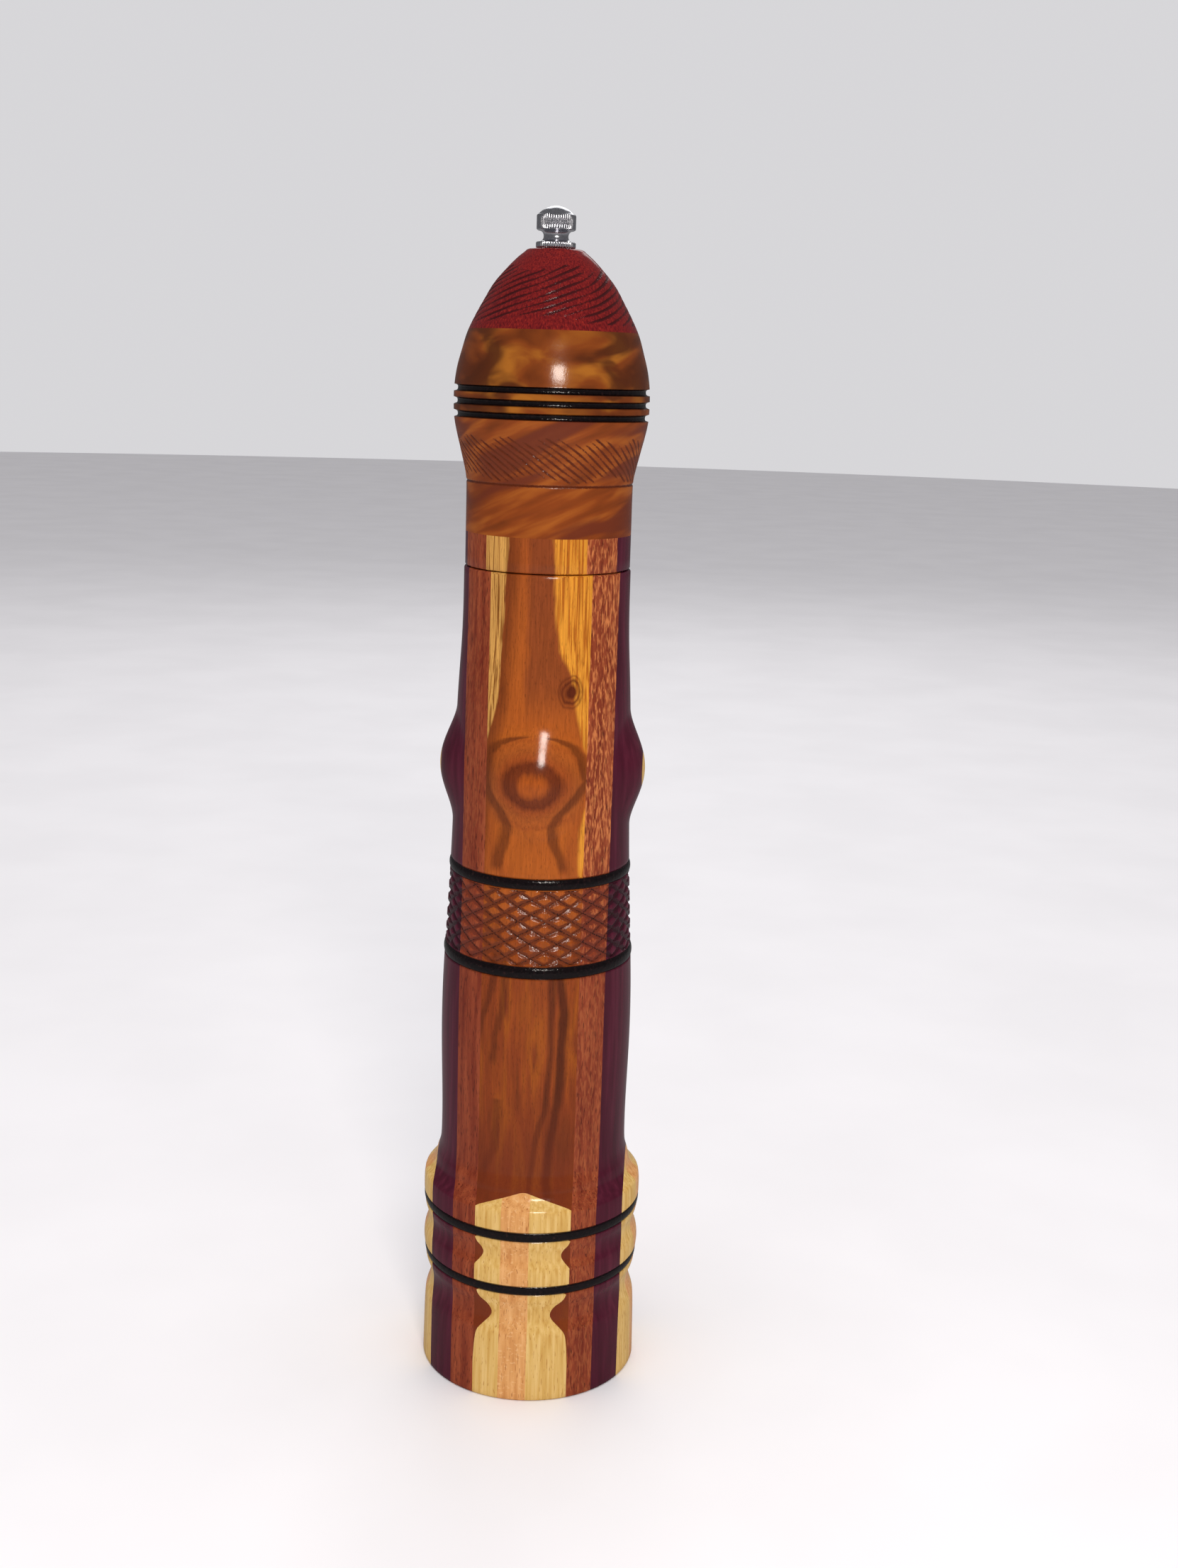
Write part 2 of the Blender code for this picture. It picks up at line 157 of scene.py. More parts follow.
def flowing(points, rows):
    """Radii at the given heights on a smooth curve through (height, radius) points."""
    found = []
    for z in rows:
        i = max(j for j in range(len(points) - 1) if points[j][0] <= z + 1e-9)
        (z0, r0), (z1, r1) = points[i], points[i + 1]
        before = points[max(i - 1, 0)]
        after = points[min(i + 2, len(points) - 1)]
        slope0 = (r1 - before[1]) / (z1 - before[0])
        slope1 = (after[1] - r0) / (after[0] - z0)
        span = z1 - z0
        t = (z - z0) / span
        found.append((2 * t**3 - 3 * t**2 + 1) * r0 + (t**3 - 2 * t**2 + t) * span * slope0
                     + (3 * t**2 - 2 * t**3) * r1 + (t**3 - t**2) * span * slope1)
    return found


def heights(stretches):
    """Row heights over stretches given as (from, to, spacing)."""
    rows = []
    for low, high, spacing in stretches:
        count = max(1, round((high - low) / spacing))
        rows += [low + (high - low) * i / count for i in range(count)]
    return rows + [stretches[-1][1]]


def turned(name, outline, around=AROUND, open_on_axis=False):
    """Spin an outline of (height, radius) points in mm about the Z axis."""
    only_nothing()
    bpy.ops.mesh.primitive_circle_add(vertices=len(outline), radius=1.0, fill_type='NOTHING')
    made = bpy.context.object
    made.name = name
    made.data.name = name
    for vertex, (z, r) in zip(made.data.vertices, outline):
        vertex.co = (r * MM, 0.0, z * MM)
    bpy.ops.object.mode_set(mode='EDIT')
    if open_on_axis:
        bpy.ops.mesh.select_mode(type='EDGE')
        bpy.ops.mesh.select_all(action='DESELECT')
        bpy.ops.object.mode_set(mode='OBJECT')
        for edge in made.data.edges:
            ends = [made.data.vertices[i].co for i in edge.vertices]
            edge.select = all(abs(end.x) < 1e-7 for end in ends)
        bpy.ops.object.mode_set(mode='EDIT')
        bpy.ops.mesh.delete(type='EDGE')
        bpy.ops.mesh.select_mode(type='VERT')
    bpy.ops.mesh.select_all(action='SELECT')
    bpy.ops.mesh.spin(steps=around // 8, angle=pi / 4, center=(0, 0, 0), axis=(0, 0, 1))
    for half in (pi / 4, pi / 2, pi):
        bpy.ops.mesh.select_all(action='SELECT')
        bpy.ops.mesh.duplicate()
        bpy.ops.transform.rotate(value=half, orient_axis='Z', center_override=(0, 0, 0))
    bpy.ops.mesh.select_all(action='SELECT')
    bpy.ops.mesh.remove_doubles(threshold=1e-6)
    bpy.ops.mesh.normals_make_consistent(inside=False)
    bpy.ops.object.mode_set(mode='OBJECT')
    made.data.materials.clear()
    return made


def carve(piece, change, least_r):
    """Move the outer skin in or out. `change` gets angle, height and radius in mm, and gives the
    move in mm with how burnt and how grooved the place is, both from 0 to 1."""
    burnt = []
    groove = []
    for vertex in piece.data.vertices:
        x, y, z = vertex.co / MM
        radius = hypot(x, y)
        move, black, cut = change(atan2(y, x), z, radius) if radius > least_r else (0, 0, 0)
        if move:
            vertex.co.x *= 1 + move / radius
            vertex.co.y *= 1 + move / radius
        burnt.append(black)
        groove.append(cut)
    for name, values in (("burnt", burnt), ("groove", groove)):
        layer = piece.data.attributes.new(name, 'FLOAT', 'POINT')
        layer.data.foreach_set("value", values)
    print(piece.name, "carved at", sum(value > 0.5 for value in groove), "points")


# %% [markdown]
# ## The barrel's outline
# The barrel is one long flowing shape: a straight foot with two coves and two beads, a swell above
# it, a waist and a straight neck. Four fine lines stand up as small half-round beads with a notch
# on each side, left by the wire that burnt them black.

# %% Barrel outline
BARREL_POINTS = [
    (0.8, 37.7), (16.7, 37.4), (22.0, 37.2), (24.5, 36.9), (27.0, 36.1), (29.4, 35.4),
    (31.6, 35.25), (34.2, 35.7), (36.8, 36.7), (38.8, 37.1), (42.0, 37.5), (45.5, 37.8),
    (48.5, 37.5), (50.6, 36.8), (52.4, 36.35), (53.8, 36.3), (55.4, 36.6), (57.2, 37.2),
    (61.0, 37.8), (66.0, 37.9), (68.6, 37.75), (70.2, 37.35), (71.6, 35.85), (72.6, 34.95),
    (73.6, 34.3), (74.6, 33.93), (75.4, 33.8), (77.0, 33.45), (79.0, 32.8), (81.5, 32.3),
    (86.0, 32.1), (96.0, 32.1), (120.0, 32.6),
    (136.0, 32.5), (152.0, 31.9), (166.0, 31.2), (182.0, 30.4), (196.0, 29.9), (216.0, 29.5),
    (236.0, 28.9), (246.0, 28.4), (258.0, 27.7), (268.0, 27.4), (281.4, 27.3)]
BARREL_ROWS = [
    (0.8, 22.0, 1.6), (22.0, 38.5, 0.6), (38.5, 43.5, 0.22), (43.5, 58.2, 0.6),
    (58.2, 63.4, 0.22), (63.4, 82.0, 0.6), (82.0, 149.5, 1.5), (149.5, 155.0, 0.22),
    (155.0, 179.6, 0.3), (179.6, 184.2, 0.22), (184.2, 194.0, 1.0), (194.0, 238.0, 0.8),
    (238.0, 281.4, 1.6)]
BURNT_FOOT = [(41.0, 1.6), (60.8, 1.7)]      # (middle, half width) of each burnt line
BURNT_BARREL = [(152.2, 2.0), (181.9, 1.75)]
NOTCH = 0.45                   # depth and width of the notch beside a burnt line


def burnt_line(z, lines, stand):
    """How far a burnt line moves the outline at this height: a half-round bead in a notch."""
    for middle, half in lines:
        off = abs(z - middle)
        if off < half:
            return -NOTCH + (NOTCH + stand) * sqrt(1 - (off / half) ** 2)
        if off < half + NOTCH:
            return off - half - NOTCH
    return 0.0


barrel_rows = heights(BARREL_ROWS)
barrel_outer = [
    (z, r + burnt_line(z, BURNT_FOOT, 0.05) + burnt_line(z, BURNT_BARREL, 0.35))
    for z, r in zip(barrel_rows, flowing(BARREL_POINTS, barrel_rows))]
BARREL_TOP = 282.0
FOOT_RECESS_R, FOOT_RECESS_ROOF = 24.0, 12.0
STATOR_SEAT_R, STATOR_SEAT_ROOF = 19.0, 30.3
CHAMBER_R = 13.5               # holds the peppercorns
MOUTH_R, MOUTH_FLOOR = 19.0, 268.0           # takes the head's tenon
barrel_outer = [(0.0, 36.9), (0.25, 37.4)] + barrel_outer + [
    (BARREL_TOP - 0.2, 27.1), (BARREL_TOP, 26.7)]
barrel_inner = [
    (0.0, FOOT_RECESS_R), (FOOT_RECESS_ROOF, FOOT_RECESS_R), (FOOT_RECESS_ROOF, STATOR_SEAT_R),
    (STATOR_SEAT_ROOF, STATOR_SEAT_R), (STATOR_SEAT_ROOF, CHAMBER_R), (MOUTH_FLOOR, CHAMBER_R),
    (MOUTH_FLOOR, MOUTH_R), (BARREL_TOP, MOUTH_R)]
blank = turned("barrel_blank", list(reversed(barrel_outer)) + barrel_inner)
print("barrel blank:", len(blank.data.polygons), "faces,", open_edges(blank), "open edges")

# %% [markdown]
# ## Knobs and diamonds
# The four knobs were left standing when the neck was carved away between them, so each is a dome
# that runs out into the barrel with no edge. The band between the two burnt lines was cut with a
# small wheel along two crossing spirals, which leaves rows of little flat-topped diamonds. Each
# carving also writes two attributes on the mesh, `burnt` and `groove`, which tell the finishes
# where the wood is scorched and where it is cut, so that a cut is coloured darker.

# %% Carve the barrel
KNOB_HEIGHT = 216.0
KNOB_REACH = 20.0
KNOB_RISE = 5.0
DIAMOND_LOW = 154.6
DIAMOND_HIGH = 179.7
DIAMONDS = 22                  # round the barrel
DIAMOND_TALL = 4.9
DIAMOND_SPACING = 4.2          # square across two neighbouring grooves
DIAMOND_DEEP = 0.8
DIAMOND_GROOVE = 1.25          # half the width of a groove


def to_line(value):
    """Distance from the nearest whole number, from 0 on a groove to 0.5 between two."""
    return abs(value - round(value))


def wander(angle, z, size):
    """A slow, repeatable unevenness, as a hand-held tool leaves, from -size to size."""
    return size * sin(3 * angle + 0.31 * z) * cos(5 * angle - 0.23 * z + 1.3)


def knob(angle, z, radius):
    nearest = round(angle / (pi / 2)) * pi / 2
    off = hypot(radius * (angle - nearest), z - KNOB_HEIGHT) / KNOB_REACH
    return KNOB_RISE * (1 - off * off) ** 2 if off < 1 else 0.0


def diamond(angle, z):
    """Depth share of the crossing grooves, 1 at the bottom of one."""
    if not DIAMOND_LOW < z < DIAMOND_HIGH:
        return 0.0
    along = angle * DIAMONDS / (2 * pi)
    up = (z - DIAMOND_LOW) / DIAMOND_TALL
    lean = wander(angle, z, 0.06)
    near = min(to_line(along + up + lean), to_line(along - up + 1.4 * lean)) * DIAMOND_SPACING
    half = DIAMOND_GROOVE * (1 + wander(angle * 2, z * 2, 0.35))
    return max(0.0, 1 - near / half)


def barrel_carving(angle, z, radius):
    black = max(min(1.0, (half + 0.25 - abs(z - middle)) / 0.3)
                for middle, half in BURNT_FOOT + BURNT_BARREL)
    cut = diamond(angle, z)
    return knob(angle, z, radius) - DIAMOND_DEEP * cut ** 0.8, max(0.0, black), cut


OUTSIDE = FOOT_RECESS_R + 0.5   # every point farther out is on the barrel's skin
carve(blank, barrel_carving, least_r=OUTSIDE)

# %% [markdown]
# ## Sawing the blank into its boards
# The timbers meet on flat planes, because the block was glued from flat boards. The bisect
# operator saws a copy of the blank along such a plane and closes the cut, so the arches where the
# pale strips end come out by themselves, exactly as they do on the lathe. Only the faces that are
# selected are sawn, which keeps the front knob whole when the foot below it is cut.

# %% Saw
def saw(piece, point, normal, touches=None):
    """Cut away what lies beyond a plane, in mm, and close the cut. `touches` picks the faces
    to saw by their corners' places; without it all are sawn."""
    only(piece)
    bpy.ops.object.mode_set(mode='EDIT')
    bpy.ops.mesh.select_mode(type='FACE')
    bpy.ops.mesh.select_all(action='SELECT' if touches is None else 'DESELECT')
    if touches is not None:
        bpy.ops.object.mode_set(mode='OBJECT')
        places = [touches(vertex.co / MM) for vertex in piece.data.vertices]
        for face in piece.data.polygons:
            face.select = any(places[i] for i in face.vertices)
        bpy.ops.object.mode_set(mode='EDIT')
    bpy.ops.mesh.bisect(plane_co=Vector(point) * MM, plane_no=normal, use_fill=True,
                        clear_outer=True, clear_inner=False, threshold=1e-7)
    bpy.ops.object.mode_set(mode='OBJECT')
    return piece


def drop(piece, where):
    """Delete every point of a piece that lies where the test says."""
    only(piece)
    bpy.ops.object.mode_set(mode='EDIT')
    bpy.ops.mesh.select_mode(type='VERT')
    bpy.ops.mesh.select_all(action='DESELECT')
    bpy.ops.object.mode_set(mode='OBJECT')
    for vertex in piece.data.vertices:
        vertex.select = where(vertex.co / MM)
    bpy.ops.object.mode_set(mode='EDIT')
    bpy.ops.mesh.delete(type='VERT')
    bpy.ops.object.mode_set(mode='OBJECT')
    return piece


def across(name, source, side, inner, outer=None, turn=0.0):
    """A copy of the source between two planes that face sideways, `side` being -1 or 1."""
    made = copy_of(source, name)
    normal = Vector((side * cos(turn), side * sin(turn), 0.0))
    saw(made, normal * inner, -normal)
    if outer is not None:
        saw(made, normal * outer, normal)
    return made


CORE_X = 16.2
MAHOGANY_X = 24.4
PURPLEHEART_X = 32.8
FOOT_STRIP_Y = 33.8
CHERRY_FROM = -7.2
CHERRY_TO = 2.4
KNOB_TIP_X = 33.7
FOOT_END = 90.0                # above the foot's strips and below the knobs
SIDES = ((-1, "left"), (1, "right"))
ENDS = ((-1, "front"), (1, "back"))

made_for = {}                  # node name -> the piece that stands for it


def strips(prefix, whole, axis, first, last):
    """Saw a foot strip into maple, cherry and maple along one axis."""
    normal = Vector((1, 0, 0)) if axis == 'X' else Vector((0, 1, 0))
    for name, low, high in (("maple_" + first, None, CHERRY_FROM),
                            ("cherry", CHERRY_FROM, CHERRY_TO),
                            ("maple_" + last, CHERRY_TO, None)):
        node = "%s_%s" % (prefix, name)
        made = copy_of(whole, node + "_fine")
        if low is not None:
            saw(made, normal * low, -normal)
        if high is not None:
            saw(made, normal * high, normal)
        made_for[node] = made
    bpy.data.objects.remove(whole)


# %% Core board and the strips on the front and back of the foot
core = across("core", blank, 1, -CORE_X, CORE_X)
for side, face in ENDS:
    strip = saw(copy_of(core, "strip"), (0, side * FOOT_STRIP_Y, 0), (0, -side, 0))
    strip = drop(strip, lambda place: place.z > FOOT_END)
    strips("foot_" + face, strip, 'X', "left", "right")
    saw(core, (0, side * FOOT_STRIP_Y, 0), (0, side, 0),
        lambda place: side * place.y > FOOT_STRIP_Y - 0.01 and place.z < FOOT_END)
core.name = "body_core_fine"
made_for["body_core"] = core

# %% Mahogany and purpleheart boards, and the strips and tips on the two sides
for side, name in SIDES:
    made_for["body_mahogany_" + name] = across(
        "body_mahogany_%s_fine" % name, blank, side, CORE_X, MAHOGANY_X)
    purple = across("body_purpleheart_%s_fine" % name, blank, side, MAHOGANY_X)
    plate = drop(across("plate", purple, side, PURPLEHEART_X),
                 lambda place: place.z > FOOT_END)
    strips("foot_" + name, plate, 'Y', "front", "back")
    tip = across("knob_tip_%s_fine" % name, purple, side, KNOB_TIP_X)
    made_for["knob_tip_" + name] = drop(tip, lambda place: place.z < FOOT_END)
    saw(purple, (side * PURPLEHEART_X, 0, 0), (side, 0, 0),
        lambda place: side * place.x > PURPLEHEART_X - 0.01 and place.z < FOOT_END)
    saw(purple, (side * KNOB_TIP_X, 0, 0), (side, 0, 0),
        lambda place: side * place.x > KNOB_TIP_X - 0.01 and place.z > FOOT_END)
    made_for["body_purpleheart_" + name] = purple
bpy.data.objects.remove(blank)
print("barrel pieces:", len(made_for))

# %% [markdown]
# ## The head's outline
# The head was turned from four blocks: a slice of the same laminated block, which keeps the
# barrel's stripes running on, then two of figured walnut and a cap of bloodwood. Its tenon sits
# in the barrel's mouth. Three grooves were burnt black, and the joint between the two walnut
# blocks hides in the lowest of them.

# %% Head pieces
HEAD_TURN = radians(-5.0)      # the head as it was left standing on the barrel
HOLE_R = 4.2                   # for the shaft
RING_R = 27.0
RING_BOTTOM = 282.3
TENON_R = 18.5
TENON_BOTTOM = 271.3
RING_TOP = 293.4
COLLAR_TOP = 330.7
DOME_TOP = 357.0
BURNT_HEAD = (330.7, 334.7, 338.7)
BURNT_HALF = 1.05
BURNT_DEEP = 1.25
EDGE_LINE = 309.6              # a fine cut at the foot of the cove
HEAD_POINTS = [
    (293.4, 27.0), (308.0, 27.0), (311.5, 27.25), (315.0, 28.0), (318.5, 28.85), (321.2, 29.5),
    (324.0, 30.2), (328.0, 31.05), (331.0, 31.4), (336.0, 31.5), (340.1, 31.3), (345.4, 30.5),
    (350.6, 29.1), (355.9, 27.5), (361.1, 25.1), (366.2, 22.3), (371.4, 19.2), (376.4, 14.9),
    (379.4, 11.9), (381.2, 9.7)]


def head_outline(stretches):
    """Rows of the head's outside over these stretches, with the grooves cut in."""
    rows = heights(stretches)
    outline = []
    for z, r in zip(rows, flowing(HEAD_POINTS, rows)):
        for middle in BURNT_HEAD:
            off = abs(z - middle) / BURNT_HALF
            if off < 1:
                r -= BURNT_DEEP * sqrt(1 - off ** 3)
        r -= 0.35 * max(0.0, 1 - abs(z - EDGE_LINE) / 0.5)
        outline.append((z, r))
    return outline


def block(name, stretches, top=()):
    """Turn one block of the head, with the shaft's hole through it."""
    outer = head_outline(stretches) + list(top)
    inner = [(outer[0][0], HOLE_R), (outer[-1][0], HOLE_R)]
    return turned(name, list(reversed(outer)) + inner)


collar = block("head_collar_fine", [(RING_TOP, 308.6, 1.2), (308.6, 310.6, 0.2),
                                    (310.6, 325.0, 0.35), (325.0, 329.2, 0.6),
                                    (329.2, COLLAR_TOP, 0.2)])
dome = block("head_dome_fine", [(COLLAR_TOP, 340.0, 0.2), (340.0, DOME_TOP, 0.8)])
cap = block("head_cap_fine", [(DOME_TOP, 358.0, 0.5), (358.0, 378.0, 0.3), (378.0, 381.2, 0.4)],
            top=[(381.75, 9.1), (382.0, 8.5)])
ring_outer = [
    (TENON_BOTTOM, TENON_R - 0.4), (TENON_BOTTOM + 0.4, TENON_R), (RING_BOTTOM, TENON_R),
    (RING_BOTTOM, RING_R - 0.6), (RING_BOTTOM + 0.15, RING_R - 0.25), (RING_BOTTOM + 0.5, RING_R),
    (286.0, RING_R), (290.0, RING_R), (RING_TOP, RING_R)]
ring = turned("ring_blank", list(reversed(ring_outer)) + [
    (TENON_BOTTOM, HOLE_R), (RING_TOP, HOLE_R)])

# %% [markdown]
# ## Spirals
# Two bands of the head are textured with a spiralling tool: fine slanting cuts that rise to the
# right on the cap and fall to the right in the cove. A cut is deeper on one side than the other,
# and each one starts and ends softly where the tool was set down and lifted.

# %% Carve the head
CAP_SPIRAL = dict(low=359.0, high=376.8, lines=23, climb=2.1, half=0.6)
COVE_SPIRAL = dict(low=310.7, high=324.4, lines=60, climb=-2.1, half=0.55)
SPIRAL_DEEP = 0.38


def spiral(angle, z, radius, low, high, lines, climb, half):
    """Depth share of one band of slanting cuts."""
    if not low < z < high:
        return 0.0
    turns = angle * lines / (2 * pi) - (z - low) / climb + wander(angle, z, 0.12)
    line = round(turns)
    slope = climb * lines / (2 * pi * radius)
    square = abs(climb) / sqrt(1 + slope * slope)
    off = (turns - line) * square
    near = abs(off) / (half if off * climb > 0 else half * 0.55)
    starts = (z - low - 1.5 * sin(7 * line)) / 1.8
    stops = (high - z - 1.5 * sin(5 * line + 1)) / 1.8
    ends = max(0.0, min(1.0, starts, stops))
    uneven = 0.7 + 0.3 * sin(2.3 * line + 0.9 * z)
    return max(0.0, 1 - near) * ends * uneven


def head_carving(angle, z, radius):
    black = max(min(1.0, (BURNT_HALF + 0.1 - abs(z - middle)) / 0.25) for middle in BURNT_HEAD)
    cut = 0.0
    for band in (CAP_SPIRAL, COVE_SPIRAL):
        cut = max(cut, spiral(angle, z, radius, **band))
    line = 0.6 * max(0.0, 1 - abs(z - EDGE_LINE) / 0.6)
    return -SPIRAL_DEEP * cut, max(0.0, black), max(cut, line)


HEAD_SKIN_R = 8.0              # farther out than the hole, nearer than any outside point
for piece in (collar, dome, cap, ring):
    carve(piece, head_carving, least_r=HEAD_SKIN_R)
made_for.update(head_collar=collar, head_dome=dome, head_cap=cap)

# %% Saw the ring like the barrel, turned with the head
made_for["ring_core"] = across("ring_core_fine", ring, 1, -CORE_X, CORE_X, turn=HEAD_TURN)
for side, name in SIDES:
    made_for["ring_mahogany_" + name] = across(
        "ring_mahogany_%s_fine" % name, ring, side, CORE_X, MAHOGANY_X, turn=HEAD_TURN)
    made_for["ring_purpleheart_" + name] = across(
        "ring_purpleheart_%s_fine" % name, ring, side, MAHOGANY_X, turn=HEAD_TURN)
bpy.data.objects.remove(ring)

# %% [markdown]
# ## The nut
# The nut is turned from brass bar and chrome plated: a domed head and a thin flange, both
# knurled with straight flutes, and a waist between them. It screws onto the shaft's stud, so it
# has a blind hole underneath.

# %% Nut
FLUTES = 48
NUT_AROUND = FLUTES * 8
NUT_OUTLINE = [
    (382.3, 5.5), (382.35, 6.0), (382.6, 6.3), (383.0, 6.3), (383.5, 6.3), (384.0, 6.3),
    (384.25, 6.0), (384.3, 5.2), (384.5, 4.7), (384.9, 4.25), (385.4, 3.98), (386.0, 3.9),
    (386.6, 3.98), (387.1, 4.25), (387.5, 4.7), (387.7, 5.2), (387.75, 5.7), (388.0, 6.1),
    (388.3, 6.2), (389.5, 6.2), (391.0, 6.2), (392.2, 6.2), (392.5, 6.05), (392.7, 5.7),
    (393.3, 5.1), (394.0, 4.2), (394.6, 3.1), (395.0, 2.0), (395.25, 1.0), (395.35, 0.0)]
NUT_BOTTOM = NUT_OUTLINE[0][0]
STUD_HOLE_R = 2.7
STUD_HOLE_ROOF = 391.6
nut = turned("adjusting_nut_fine", list(reversed(NUT_OUTLINE)) + [
    (NUT_BOTTOM, STUD_HOLE_R + 0.2), (NUT_BOTTOM + 0.3, STUD_HOLE_R),
    (STUD_HOLE_ROOF, STUD_HOLE_R), (STUD_HOLE_ROOF, 0.0)],
    around=NUT_AROUND, open_on_axis=True)
KNURL_DEEP = 0.3
KNURLED = ((382.5, 384.1), (388.2, 392.3))   # heights of the flange and of the head's rim


def knurl(angle, z, radius):
    """Straight flutes on the flange and on the head's rim."""
    on_rim = any(low < z < high for low, high in KNURLED)
    cut = max(0.0, 1 - to_line(angle * FLUTES / (2 * pi)) * 3.2) if on_rim else 0.0
    return -KNURL_DEEP * cut, 0.0, cut


RIMS_R = 5.9                   # only the two rims stand out past this
carve(nut, knurl, least_r=RIMS_R)
made_for["adjusting_nut"] = nut

# %% [markdown]
# ## The rotor's spring
# Under the rotor a small coil spring stands on the crossbar and presses the rotor up. A circle
# carried up with the screw operator would do, but a curve that climbs round the axis, with a round
# bevel, also lets the ends climb slowly and lie nearly flat, as ground ends do.

# %% Rotor spring
SPRING_R = 4.9
WIRE_R = 0.45
SPRING_TURNS = 4
SPRING_STEPS = 32              # points in a turn
spring_low, spring_high = (corner[2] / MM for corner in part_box("rotor_spring"))
only_nothing()
bpy.ops.curve.primitive_nurbs_path_add()
spring = bpy.context.object
spring.name = "rotor_spring_fine"
spring.data.splines.clear()
coil = spring.data.splines.new('POLY')
count = SPRING_TURNS * SPRING_STEPS
coil.points.add(count)
for i, point in enumerate(coil.points):
    share = i / count
    eased = share + 0.5 * share * (1 - share) * (2 * share - 1)
    angle = 2 * pi * i / SPRING_STEPS
    height = spring_low + WIRE_R + (spring_high - spring_low - 2 * WIRE_R) * eased
    point.co = (SPRING_R * cos(angle) * MM, SPRING_R * sin(angle) * MM, height * MM, 1.0)
spring.data.bevel_depth = WIRE_R * MM
spring.data.bevel_resolution = 3
spring.data.use_fill_caps = True
bpy.ops.object.convert(target='MESH')
spring = bpy.context.object
bpy.ops.object.mode_set(mode='EDIT')
bpy.ops.mesh.select_all(action='SELECT')
bpy.ops.mesh.remove_doubles(threshold=1e-7)
bpy.ops.object.mode_set(mode='OBJECT')
made_for["rotor_spring"] = spring
print("spring:", len(spring.data.polygons), "faces,", open_edges(spring), "open edges")

# %% [markdown]
# ## Standing in for the frame's pieces
# Each fine piece replaces the plain one of the same name and moves with the same body. Round
# surfaces are shaded smooth and real corners stay sharp.

# %% Smooth, replace and ride
body_of = {node: body for body, nodes in frame["record"]["behaviour"]["bodies"].items()
           for node in nodes}
slot_of = {entry["node"]: entry["material_slot"] for entry in frame["record"]["subparts"]}


def stand_in(piece, node):
    """Finish a piece's shading and let it replace and follow its node."""
    only(piece)
    bpy.ops.object.mode_set(mode='EDIT')
    bpy.ops.mesh.select_all(action='SELECT')
    bpy.ops.mesh.normals_make_consistent(inside=False)
    bpy.ops.object.mode_set(mode='OBJECT')
    bpy.ops.object.shade_smooth_by_angle(angle=radians(38))
    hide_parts(node)
    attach(piece, body_of[node])


for node, piece in made_for.items():
    stand_in(piece, node)
    print("%-26s %6d faces, %d open edges" % (node, len(piece.data.polygons), open_edges(piece)))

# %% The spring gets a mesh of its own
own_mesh(spring)

# %% [markdown]
# ## Building a finish from nodes
# Every finish is a small tree of nodes that reads a point's place on the object, so the pattern
# goes right through a board as real grain does, and runs on over a carving. One function adds a
# node with its options and its inputs. Colours are written as on a paint chart and turned to
# linear light once.

# %% Node helpers
def linear(colour):
    """An sRGB hex colour as linear red, green, blue and alpha."""
    parts = [int(colour[i:i + 2], 16) / 255 for i in (1, 3, 5)]
    return tuple(p / 12.92 if p < 0.04045 else ((p + 0.055) / 1.055) ** 2.4
                 for p in parts) + (1.0,)


def add(tree, kind, options, inputs):
    """Add a node. An input is a value, a socket or a node, whose first output is then used."""
    node = tree.nodes.new("ShaderNode" + kind)
    for name, value in options.items():
        if name == "stops":
            ramp = node.color_ramp.elements
            while len(ramp) < len(value):
                ramp.new(1.0)
            for stop, (position, colour) in zip(ramp, value):
                stop.position = position
                stop.color = linear(colour)
        else:
            setattr(node, name, value)
    for name, value in inputs.items():
        if isinstance(value, bpy.types.Node):
            value = value.outputs[0]
        if isinstance(value, bpy.types.NodeSocket):
            tree.links.new(value, node.inputs[name])
        else:
            node.inputs[name].default_value = value
    return node


def grain(x, y, z):
    """Mapping scale for a pattern whose grains are this many millimetres each way."""
    return (1 / (x * MM), 1 / (y * MM), 1 / (z * MM))


def new_finish(name):
    """An empty material, with its tree, its Object coordinates and its shader."""
    material = bpy.data.materials.new(name)
    material.use_nodes = True
    tree = material.node_tree
    tree.nodes.clear()
    place = add(tree, "TexCoord", {}, {}).outputs["Object"]
    shader = add(tree, "BsdfPrincipled", {}, {})
    add(tree, "OutputMaterial", {}, {"Surface": shader})
    return material, tree, place, shader


finishes = {}                  # material slot -> material

# %% [markdown]
# ## Lacquer, scorched lines and cut grooves
# All the timbers share one finish: several coats of clear lacquer, rubbed down and buffed, which
# is a smooth layer that mirrors lamps sharply over a soft coloured base. Over the grain comes the
# charred black of the burnt lines, which the `burnt` attribute marks, and a darker red brown inside
# a cut, darkest along its middle, which `groove` marks. Char is rough and a little lumpy, so
# its lacquer glints.

# %% Lacquer
LACQUER_IOR = 1.5
COAT_WEIGHT = 0.6
RELIEF_DEEP = 0.03 * MM        # ripples left by the brush, and the lumps of char


